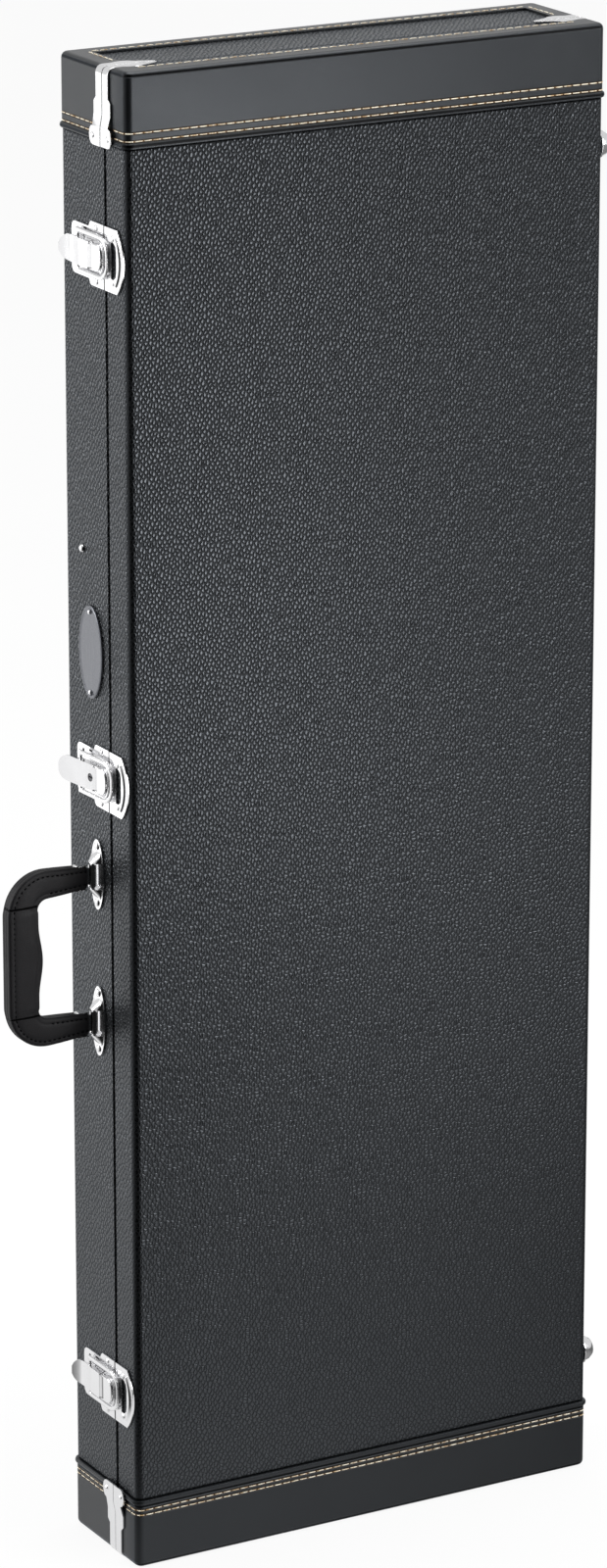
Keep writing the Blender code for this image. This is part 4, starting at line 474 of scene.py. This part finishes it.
def make_plush():
    """Short black pile: soft sheen, brushed patches and a fuzzy surface."""
    sheen = {"Sheen_Weight": 0.9, "Sheen_Roughness": 0.35, "Sheen_Tint": (0.55, 0.56, 0.60, 1)}
    look = Look("plush_pile", roughness=0.95, Specular_IOR_Level=0.1, **sheen)
    brushed = look.ramp(look.noise(16, 4.0, 0.62, look.shifted(0.03, 7)), 0.35, 0.65)
    tuft = look.noise(420, 2.0, 0.6)
    nap = look.times(look.plus(brushed, look.ramp(tuft, 0.3, 0.7)), 0.5)
    colour = look.blend(nap, (0.012, 0.012, 0.014), (0.055, 0.055, 0.061))
    height = look.plus(look.noise(1900, 3.0, 0.7), look.times(tuft, 1.4))
    return look.done(colour, None, look.bump(height, 0.7 * MM, 0.8))


def make_badge_enamel():
    """Dark grey plate, brushed along its length under clear lacquer."""
    look = Look("badge_grey", metallic=0.65, Coat_Weight=0.35, Coat_Roughness=0.12)
    brushed = look.noise(1500, 3.0, 0.6, look.stretched((1.0, 1.0, 0.03)))
    colour = look.blend(brushed, (0.085, 0.090, 0.105), (0.145, 0.150, 0.170))
    return look.done(colour, look.ramp(brushed, 0.3, 0.7, 0.26, 0.40), look.bump(brushed, 0.02 * MM, 0.4))


def make_ribbon():
    """Ribbed ribbon of the flap's pull."""
    look = Look("ribbon_rib", roughness=0.55, Sheen_Weight=0.4)
    ribs = {"Vector": look.place, "Scale": 420, "Distortion": 0.3}
    wave = look.add("TexWave", "Fac", ribs, bands_direction="Z")
    colour = look.blend(wave, (0.016, 0.016, 0.019), (0.045, 0.045, 0.052))
    return look.done(colour, None, look.bump(wave, 0.12 * MM, 0.8))


def make_board():
    """Paper-covered board inside the accessory box."""
    look = Look("box_board", roughness=0.85)
    fibre = look.noise(650, 4.0, 0.7, look.stretched((1.0, 1.0, 0.4)))
    colour = look.blend(fibre, (0.030, 0.028, 0.026), (0.060, 0.056, 0.052))
    return look.done(colour, None, look.bump(fibre, 0.08 * MM, 0.6))


MATERIALS = {
    "grained_vinyl": make_grained_vinyl(),
    "smooth_vinyl": make_smooth_vinyl(),
    "nickel": make_nickel(),
    "dark_steel": make_nickel("dark_steel_core", (0.16, 0.16, 0.17), (0.22, 0.36)),
    "badge_enamel": make_badge_enamel(),
    "handle_leather": make_leather(),
    "plush": make_plush(),
    "ribbon": make_ribbon(),
    "board": make_board(),
    "thread": make_thread("cream_thread", (1.0, 0.93, 0.76), (0.50, 0.31, 0.13)),
    "black_thread": make_thread("black_thread", (0.0025, 0.0025, 0.003), (0.001, 0.001, 0.001), 0.02),
}


# The CAD's own pieces: material, eased edges and smooth shading


def make_smoothing():
    """A geometry group that takes off the CAD's own normals and shades all but sharp corners smooth."""
    group = bpy.data.node_groups.new("smooth_with_corners", "GeometryNodeTree")
    group.interface.new_socket("Geometry", in_out="INPUT", socket_type="NodeSocketGeometry")
    group.interface.new_socket("Geometry", in_out="OUTPUT", socket_type="NodeSocketGeometry")
    start, end = group.nodes.new("NodeGroupInput"), group.nodes.new("NodeGroupOutput")
    plain = group.nodes.new("GeometryNodeRemoveAttribute")
    plain.inputs["Name"].default_value = "custom_normal"
    faces, edges = (group.nodes.new("GeometryNodeSetShadeSmooth") for _ in range(2))
    faces.domain, edges.domain = "FACE", "EDGE"
    edges.inputs["Shade Smooth"].default_value = False
    angle = group.nodes.new("GeometryNodeInputMeshEdgeAngle")
    sharp = group.nodes.new("ShaderNodeMath")
    sharp.operation = "GREATER_THAN"
    sharp.inputs[1].default_value = SMOOTH_ANGLE
    group.links.new(start.outputs[0], plain.inputs["Geometry"])
    group.links.new(plain.outputs["Geometry"], faces.inputs["Geometry"])
    group.links.new(faces.outputs["Geometry"], edges.inputs["Geometry"])
    group.links.new(angle.outputs["Unsigned Angle"], sharp.inputs[0])
    group.links.new(sharp.outputs[0], edges.inputs["Selection"])
    group.links.new(edges.outputs["Geometry"], end.inputs[0])
    return group


SMOOTHING = make_smoothing()


def dress(node, slot, ease, segments=2):
    """Gives a CAD piece, or a copy of one, its material, slightly rounded edges and smooth shading."""
    node.material_slots[0].material = MATERIALS[slot]
    weld = node.modifiers.new("weld", "WELD")
    weld.merge_threshold = WELD
    flat = node.modifiers.new("flat", "DECIMATE")
    flat.decimate_type = "DISSOLVE"
    flat.angle_limit = FLAT_ANGLE
    if ease:
        bevel = node.modifiers.new("ease", "BEVEL")
        bevel.width = ease
        bevel.segments = segments
        bevel.limit_method = "ANGLE"
        bevel.angle_limit = EASED_ANGLE
    smooth = node.modifiers.new("smooth", "NODES")
    smooth.node_group = SMOOTHING
    weighted = node.modifiers.new("normals", "WEIGHTED_NORMAL")
    weighted.keep_sharp = True


def dress_frame():
    """Dresses every CAD piece that no other piece replaces."""
    for name, node in frame["nodes"].items():
        if name in SOFT_NODES + LOOPS + BRACKETS:
            continue
        slot = node.material_slots[0].material.name.split(".")[0]
        if "clip" in name:
            dress(node, slot, CLIP_EASE, 3)
        else:
            dress(node, slot, EASES.get(slot, 0.0))


# New pieces


def add_object(name, data):
    """A new object, linked into the scene."""
    made = bpy.data.objects.new(name, data)
    bpy.context.scene.collection.objects.link(made)
    return made


def new_piece(name, mesh, slot, body):
    """A smooth object from a bmesh, riding on a CAD body."""
    data = bpy.data.meshes.new(name)
    mesh.to_mesh(data)
    mesh.free()
    data.materials.append(MATERIALS[slot])
    data.shade_smooth()
    data.set_sharp_from_angle(angle=NEW_PIECE_ANGLE)
    made = add_object(name, data)
    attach(made, body)
    return made


def add_tube(mesh, rings):
    """A closed tube through rings of points, joined to a bmesh."""
    rows = [[mesh.verts.new(point) for point in ring] for ring in rings]
    count = len(rings[0])
    for low, high in zip(rows, rows[1:]):
        for side in range(count):
            after = (side + 1) % count
            mesh.faces.new((low[side], low[after], high[after], high[side]))
    mesh.faces.new(list(reversed(rows[0])))
    mesh.faces.new(rows[-1])


class Path:
    """A polyline with an outward normal at each point, read by distance along it."""

    def __init__(self, points, normals):
        self.points = [Vector(p) for p in points]
        self.normals = [Vector(n).normalized() for n in normals]
        self.marks = [0.0]
        for before, after in zip(self.points, self.points[1:]):
            self.marks.append(self.marks[-1] + (after - before).length)
        self.length = self.marks[-1]

    def at(self, distance):
        """The point and the normal at a distance along the path."""
        index = 1
        while index < len(self.marks) - 1 and self.marks[index] < distance:
            index += 1
        span = max(self.marks[index] - self.marks[index - 1], 1e-9)
        share = min(max((distance - self.marks[index - 1]) / span, 0.0), 1.0)
        point = self.points[index - 1].lerp(self.points[index], share)
        normal = self.normals[index - 1].lerp(self.normals[index], share).normalized()
        return point, normal


def add_stitch(mesh, path, start, end, radius, rise):
    """One stitch: a short thread that comes up out of the surface and goes down into it again."""
    rings = []
    for step in range(STITCH_STEPS + 1):
        share = step / STITCH_STEPS
        distance = start + share * (end - start)
        point, normal = path.at(distance)
        ahead = path.at(min(distance + STITCH_PROBE, path.length))[0]
        behind = path.at(max(distance - STITCH_PROBE, 0.0))[0]
        across = (ahead - behind).normalized().cross(normal).normalized()
        arch = math.sin(math.pi * share) ** STITCH_ARCH if 0 < step < STITCH_STEPS else 0.0
        centre = point + normal * (rise * arch - STITCH_DIP * radius * (1 - arch))
        size = radius * (STITCH_TIP + (1 - STITCH_TIP) * arch)
        angles = [2 * math.pi * (side + 0.5 * step) / STITCH_SIDES for side in range(STITCH_SIDES)]
        rings.append([centre + size * (math.cos(a) * across + math.sin(a) * normal) for a in angles])
    add_tube(mesh, rings)


def add_row(mesh, path, pitch, length, radius, rise):
    """Stitches all along a path, centred on it."""
    count = int(path.length / pitch)
    margin = (path.length - count * pitch) / 2
    for index in range(count):
        start = margin + index * pitch + (pitch - length) / 2
        add_stitch(mesh, path, start, start + length, radius, rise)


# Stitching of the caps


def half_sides(half):
    """The half's seam level, its outer face's level and the way between them, along Y."""
    if half == "base":
        return BASE_LOW.y, BASE_HIGH.y, 1
    return LID_HIGH.y, LID_LOW.y, -1


def around_half(half, height):
    """Round a cap's three outer sides at a height, from one side of the seam to the other."""
    seam, outer, way = half_sides(half)
    wide = HALF_WIDTH + CAP_PROUD
    radius = EDGE_RADIUS + CAP_PROUD
    depth = abs(outer - seam) + CAP_PROUD
    points, normals = [(-wide, CLIP_CLEAR)], [(-1, 0)]
    for side, start in ((-1, 180), (1, 90)):
        for step in range(CORNER_STEPS + 1):
            angle = math.radians(start - 90 * step / CORNER_STEPS)
            u, v = math.cos(angle), math.sin(angle)
            points.append((side * (wide - radius) + radius * u, depth - radius + radius * v))
            normals.append((u, v))
    points.append((wide, CLIP_CLEAR))
    normals.append((1, 0))
    places = [(MIDDLE_X + x, seam + way * out, height) for x, out in points]
    return Path(places, [(x, way * out, 0) for x, out in normals])


def across_end(half, top):
    """Along the vinyl border of an end face, inset from the half's outer sides."""
    seam, outer, way = half_sides(half)
    wide = HALF_WIDTH + CAP_PROUD - END_ROW_INSET
    depth = abs(outer - seam) + CAP_PROUD - END_ROW_INSET
    height = TOP if top else 0.0
    places = [(-wide, CLIP_CLEAR), (-wide, depth), (wide, depth), (wide, CLIP_CLEAR)]
    normal = (0, 0, 1 if top else -1)
    return [
        Path([(MIDDLE_X + x, seam + way * out, height) for x, out in run], [normal, normal])
        for run in zip(places, places[1:])
    ]


def make_cap_stitching():
    """Two rows round each cap's lip, and one along its border on the end face."""
    for half in ("base", "lid"):
        for end, distances in (("top", TOP_ROWS), ("bottom", BOTTOM_ROWS)):
            top = end == "top"
            rows = bmesh.new()
            for distance in distances:
                path = around_half(half, TOP - distance if top else distance)
                add_row(rows, path, STITCH_PITCH, STITCH_LENGTH, THREAD_RADIUS, THREAD_RISE)
            new_piece(f"{half}_{end}_lip_stitches", rows, "thread", half)
            border = bmesh.new()
            rise = THREAD_RISE if top else THREAD_SUNK
            for path in across_end(half, top):
                add_row(border, path, STITCH_PITCH, STITCH_LENGTH, THREAD_RADIUS, rise)
            new_piece(f"{half}_{end}_border_stitches", border, "thread", half)


# The handle


def handle_point(out, level, through=0.0):
    return Vector((WALL_X - out, HANDLE_PIVOT.y + through, HANDLE_PIVOT.z + level))


def handle_stations():
    """Down the handle's middle line: place, direction across it, width and thickness."""
    level, outer, radius = HANDLE_ARM_LEVEL, HANDLE_OUTER, HANDLE_CORNER
    straight = outer - radius - HANDLE_ARM_START
    extra, deep = HANDLE_GRIP_WIDTH - HANDLE_ARM_WIDTH, HANDLE_GRIP_THICKNESS - HANDLE_ARM_THICKNESS
    upper = []
    for step in range(HANDLE_STEPS + 1):
        share = step / HANDLE_STEPS
        place = (HANDLE_ARM_START + share * straight, level)
        width = HANDLE_ARM_WIDTH + share * ARM_WIDENS * extra
        thick = HANDLE_ARM_THICKNESS + min(share / ARM_THICK_BY, 1) * ARM_THICKENS * deep
        upper.append((place, (0.0, 1.0), width, thick))
    for step in range(1, HANDLE_STEPS + 1):
        share = step / HANDLE_STEPS
        angle = math.radians(90 - 90 * share)
        across = (math.cos(angle), math.sin(angle))
        place = (outer - radius + radius * across[0], level - radius + radius * across[1])
        width = HANDLE_ARM_WIDTH + (ARM_WIDENS + (1 - ARM_WIDENS) * share) * extra
        thick = HANDLE_ARM_THICKNESS + (ARM_THICKENS + (1 - ARM_THICKENS) * share) * deep
        upper.append((place, across, width, thick))
    for step in range(1, HANDLE_STEPS + 1):
        share = 1 - step / HANDLE_STEPS
        bulge = HANDLE_BULGE * (0.5 + 0.5 * math.cos(math.pi * min(share / BULGE_REACH, 1)))
        place = (outer - bulge / 2, share * (level - radius))
        upper.append((place, (1.0, 0.0), HANDLE_GRIP_WIDTH + bulge, HANDLE_GRIP_THICKNESS))
    lower = [((out, -z), (u, -v), width, thick) for (out, z), (u, v), width, thick in reversed(upper[:-1])]
    return upper + lower


def handle_section(width, thick):
    """Section of two leather faces over a padded core."""
    half, deep = width / 2, thick / 2
    groove = half - HANDLE_GROOVE
    crown = [(0.0, deep), (0.5 * groove, deep - 0.05 * MM), (groove - 1.1 * MM, deep - 0.25 * MM)]
    sewn = [(groove, deep - 0.75 * MM), (groove + 1.1 * MM, deep - 0.45 * MM)]
    edge = [(half - 1.3 * MM, deep - 0.65 * MM), (half - 0.4 * MM, deep - 1.1 * MM)]
    layers = [(half, deep - 1.9 * MM), (half, 0.36 * deep)]
    layers += [(half - 0.35 * MM, 0.26 * deep), (half, 0.16 * deep)]
    quarter = crown + sewn + edge + layers
    right = quarter + [(u, -v) for u, v in reversed(quarter)]
    return right + [(-u, v) for u, v in reversed(right)][1:-1]


def make_handle():
    """The handle's leather, thicker along the grip, where a second leather is wrapped round."""
    stations = handle_stations()
    rings = []
    for (out, level), (u, v), width, thick in stations:
        wrapped = abs(level) < HANDLE_SEAM_LEVEL and v == 0.0
        less = 0.0 if wrapped else 2 * WRAP_THICKNESS
        section = handle_section(width - less, thick - less)
        rings.append([handle_point(out + side * u, level + side * v, through) for side, through in section])
    mesh = bmesh.new()
    add_tube(mesh, rings)
    bmesh.ops.recalc_face_normals(mesh, faces=mesh.faces)
    grip = new_piece("leather_handle", mesh, "handle_leather", "handle")
    grip.modifiers.new("round", "SUBSURF").levels = 1
    grip.modifiers["round"].render_levels = 1
    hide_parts("handle_grip")
    make_handle_stitching(stations)


def handle_line(stations, inset, face):
    """Along the handle's face, inset from its outer edge, or from its inner edge if inset is below 0."""
    points, normals = [], []
    for (out, level), (u, v), width, thick in stations:
        across = width / 2 - inset if inset > 0 else -(width / 2 + inset)
        through = face * (thick / 2 - HANDLE_STITCH_DEPTH)
        points.append(handle_point(out + across * u, level + across * v, through))
        normals.append((0, face, 0))
    return Path(points, normals)


def make_handle_stitching(stations):
    """Thread along the handle's outer edge and along both arms' inner edges, on its two faces."""
    mesh = bmesh.new()
    size = (HANDLE_STITCH_LENGTH, HANDLE_STITCH_RADIUS, HANDLE_STITCH_RISE)
    arm = HANDLE_STEPS + 1
    for face in (-1, 1):
        lines = [handle_line(stations, HANDLE_STITCH_INSET, face)]
        lines += [handle_line(run, -HANDLE_STITCH_INSET, face) for run in (stations[:arm], stations[-arm:])]
        for line in lines:
            add_row(mesh, line, HANDLE_STITCH_PITCH, *size)
    new_piece("handle_stitches", mesh, "black_thread", "handle")


# The handle's metal, and the badge's rivets


def add_dome(mesh, centre, outward, radius, height):
    """A rivet's head: a low dome on a short straight rim."""
    side = outward.orthogonal().normalized()
    other = outward.cross(side)
    turns = [2 * math.pi * step / DOME_SIDES for step in range(DOME_SIDES)]
    rings = []
    for share, lift in DOME_PROFILE:
        middle = centre + outward * (lift * height)
        reach = share * radius
        rings.append([middle + reach * (math.cos(turn) * side + math.sin(turn) * other) for turn in turns])
    add_tube(mesh, rings)


def make_brackets():
    """The handle's brackets: the humps fall quickly to a flat oval end with a rivet."""
    for node in BRACKETS:
        low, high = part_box(node)
        middle = (low + high) / 2
        data = frame["nodes"][node].data.copy()
        mesh = bmesh.new()
        mesh.from_mesh(data)
        for vert in mesh.verts:
            rise = WALL_X - PLATE_TOP - vert.co.x
            share = (abs(vert.co.z - middle.z) - HUMP_FROM) / (HUMP_TO - HUMP_FROM)
            share = min(max(share, 0.0), 1.0)
            if rise > 0:
                vert.co.x = WALL_X - PLATE_TOP - rise * (1 - share * share * (3 - 2 * share))
        for end in (-1, 1):
            place = Vector((WALL_X - PLATE_TOP, middle.y, middle.z + end * BRACKET_RIVET))
            add_dome(mesh, place, OUTWARD, *BRACKET_RIVET_HEAD)
        mesh.to_mesh(data)
        mesh.free()
        made = add_object(node.replace("handle_bracket", "oval_bracket"), data)
        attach(made, "base")
        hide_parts(node)
        dress(made, "nickel", BRACKET_EASE)


def strap_section(half):
    """Across and up from a strap's middle: a flat strip, 1 mm thick, with two slanted edges."""
    low, edge, high = -0.5 * MM, 0.25 * MM, 0.5 * MM
    return (-half, low), (half, low), (half, edge), (0.8 * half, high), (-0.8 * half, high), (-half, edge)


def make_arm_straps():
    """Thin metal straps along the edges of the handle's arms, where its metal ends go in."""
    mesh = bmesh.new()
    for arm in (-1, 1):
        for edge in (-1, 1):
            level = arm * HANDLE_ARM_LEVEL + edge * (HANDLE_ARM_WIDTH / 2 + STRAP_OFFSET)
            rings = []
            for out, half in STRAP_STATIONS:
                section = strap_section(half * MM)
                rings.append([handle_point(out * MM, level + edge * up, wide) for wide, up in section])
            add_tube(mesh, rings)
    bmesh.ops.recalc_face_normals(mesh, faces=mesh.faces)
    new_piece("arm_straps", mesh, "nickel", "handle")


def make_badge_rivets():
    """A small rivet near each end of the badge's plate."""
    low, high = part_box("badge_plate")
    mesh = bmesh.new()
    for end in (-1, 1):
        level = (low.z + high.z) / 2 + end * BADGE_RIVET
        place = Vector((low.x + BADGE_RIVET_SEAT, (low.y + high.y) / 2, level))
        add_dome(mesh, place, OUTWARD, *BADGE_RIVET_HEAD)
    bmesh.ops.recalc_face_normals(mesh, faces=mesh.faces)
    new_piece("badge_rivets", mesh, "nickel", "base")


# Pieces remeshed from their CAD solids: wire loops and plush lining


def rounded_copy(name, node, slot, body, voxel, passes, shrink=0.0):
    """A piece in the space of its CAD solid, rounded all over: a fine even remesh, smoothed."""
    made = add_object(name, frame["nodes"][node].data.copy())
    remesh = made.modifiers.new("even", "REMESH")
    remesh.mode = "VOXEL"
    remesh.voxel_size = voxel
    view = bpy.context.evaluated_depsgraph_get()
    made.data = bpy.data.meshes.new_from_object(made.evaluated_get(view))
    made.modifiers.clear()
    mesh = bmesh.new()
    mesh.from_mesh(made.data)
    every_way = {"use_axis_x": True, "use_axis_y": True, "use_axis_z": True}
    for _ in range(passes):
        bmesh.ops.smooth_vert(mesh, verts=mesh.verts, factor=0.5, **every_way)
    mesh.normal_update()
    for vert in mesh.verts:
        vert.co -= vert.normal * shrink
    mesh.to_mesh(made.data)
    mesh.free()
    made.data.shade_smooth()
    made.data.materials.clear()
    made.data.materials.append(MATERIALS[slot])
    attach(made, body)
    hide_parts(node)
    return made


def make_loops():
    """The latches' loops are bent from round wire."""
    for node in LOOPS:
        name = node.replace("latch_loop", "wire_loop")
        body = node.replace("latch_", "")
        rounded_copy(name, node, "nickel", body, LOOP_VOXEL, LOOP_PASSES)


def plush_piece(name, node, body, voxel):
    """A padded piece of the lining."""
    piece = rounded_copy(name, node, "plush", body, voxel, PLUSH_PASSES, PLUSH_SHRINK)


def make_ribbon_pull():
    """The flap's pull: a ribbon that lies on the flap in a low arch."""
    low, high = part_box("flap_tab")
    rings = []
    for step in range(RIBBON_STEPS + 1):
        share = step / RIBBON_STEPS
        x = low.x + share * (high.x - low.x)
        y = high.y - (RIBBON_LIFT + RIBBON_ARCH * math.sin(math.pi * share))
        outer = y - RIBBON_THICKNESS
        rings.append([(x, y, low.z), (x, y, high.z), (x, outer, high.z), (x, outer, low.z)])
    mesh = bmesh.new()
    add_tube(mesh, rings)
    bmesh.ops.recalc_face_normals(mesh, faces=mesh.faces)
    pull = new_piece("ribbon_pull", mesh, "ribbon", "flap")
    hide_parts("flap_tab")


def make_lining():
    plush_piece("plush_base_liner", "base_liner", "base", voxel=3.0 * MM)
    plush_piece("plush_lid_liner", "lid_liner", "lid", voxel=2.6 * MM)
    plush_piece("plush_neck_cradle", "neck_cradle", "base", voxel=1.5 * MM)
    plush_piece("plush_flap", "compartment_flap", "flap", voxel=1.0 * MM)
    make_ribbon_pull()


# Floor, light and camera


def make_floor_material():
    """Matt pale paper.

    The camera sees it nearly white, with the case's shadow. For glossy rays it glows with painted light
    behind and in a patch at the right, and is dim on the photographer's side.
    """
    material = bpy.data.materials.new("pale_floor")
    material.use_nodes = True
    nodes = Nodes(material.node_tree)
    shader = nodes.tree.nodes["Principled BSDF"]
    shader.inputs["Roughness"].default_value = 0.9
    shader.inputs["Specular IOR Level"].default_value = 0.0
    tone = nodes.ramp(nodes.add("TexNoise", "Fac", {"Scale": 60, "Detail": 4}), 0.3, 0.7, *FLOOR_TONE)
    paper = nodes.add("CombineColor", 0, {"Red": tone, "Green": tone, "Blue": tone})
    nodes.link(paper, shader.inputs["Base Color"])
    place = nodes.add("NewGeometry", "Position")
    far = nodes.add("VectorMath", "Value", {0: place}, operation="LENGTH")
    # Painted light: for glossy rays the floor glows behind the case and in a patch beside it
    behind = nodes.ramp(nodes.dot(place, FLOOR_GLOW_BEHIND), -0.1, 0.5)
    behind = nodes.times(behind, nodes.ramp(far, 0.0, 2.6, 0.65, 1.0))
    across = nodes.dot(place, FLOOR_GLOW_PATCH)
    glow_patch = nodes.times(nodes.ramp(across, -0.4, -0.2), nodes.ramp(across, -0.2, 0.5, 2.0, 0.25))
    glow_patch = nodes.times(glow_patch, nodes.ramp(far, 0.0, 2.2, 0.40, 1.0))
    painted_glow = nodes.plus(nodes.maths("MAXIMUM", behind, glow_patch), 0.01)
    glow = nodes.add("Emission", 0, {"Strength": painted_glow})
    white = nodes.add("Emission", 0, {"Strength": 1.0})
    path = nodes.node("LightPath").outputs
    seen = {"Fac": nodes.times(path["Is Camera Ray"], FLOOR_WHITE), 1: shader.outputs[0], 2: white}
    reflected = {"Fac": path["Is Glossy Ray"], 1: nodes.add("MixShader", 0, seen), 2: glow}
    nodes.link(nodes.add("MixShader", 0, reflected), nodes.tree.nodes["Material Output"].inputs["Surface"])
    return material


def make_floor():
    mesh = bmesh.new()
    bmesh.ops.create_circle(mesh, cap_ends=True, segments=FLOOR_SIDES, radius=FLOOR_RADIUS)
    data = bpy.data.meshes.new("floor")
    mesh.to_mesh(data)
    mesh.free()
    data.materials.append(make_floor_material())
    floor = add_object("floor", data)
    floor.location = (0, 0, -FLOOR_DROP)


def make_world():
    """A plain studio: white to the camera, lit all round and above, dark on the photographer's side."""
    world = bpy.data.worlds.new("studio")
    bpy.context.scene.world = world
    world.use_nodes = True
    nodes = Nodes(world.node_tree)
    back = nodes.tree.nodes["Background"]
    back.inputs["Color"].default_value = (1, 1, 1, 1)
    way = nodes.add("TexCoord", "Generated")
    around = nodes.ramp(nodes.dot(way, DARK_SIDE), *DARK_EDGE, WORLD_LIGHT, 0.0)
    seen = nodes.maths("MAXIMUM", nodes.add("LightPath", "Is Camera Ray"), around)
    nodes.link(seen, back.inputs["Strength"])


def make_lights():
    for name, (place, aim, size, power) in SOFTBOXES.items():
        light = bpy.data.lights.new(name, "AREA")
        light.shape = "RECTANGLE"
        light.size, light.size_y = size
        light.energy = power
        lamp = add_object(name, light)
        lamp.location = place
        lamp.visible_camera = False
        lamp.rotation_euler = (Vector(aim) - Vector(place)).to_track_quat("-Z", "Y").to_euler()


def make_camera():
    data = bpy.data.cameras.new("camera")
    data.lens = CAMERA_LENS
    data.sensor_width = CAMERA_SENSOR
    data.clip_start, data.clip_end = CAMERA_CLIP
    camera = add_object("camera", data)
    back = CAMERA_BACK.normalized()
    right = CAMERA_UP.cross(back).normalized()
    turn = Matrix((right, back.cross(right), back)).transposed()
    camera.matrix_world = Matrix.Translation(CAMERA_TARGET + back * CAMERA_DISTANCE) @ turn.to_4x4()
    bpy.context.scene.camera = camera


make_camera()
make_world()
make_lights()
make_floor()
dress_frame()
make_cap_stitching()
make_loops()
make_handle()
make_brackets()
make_arm_straps()
make_badge_rivets()
make_lining()
bpy.context.scene.view_settings.view_transform = "Standard"

bpy.context.view_layer.update()
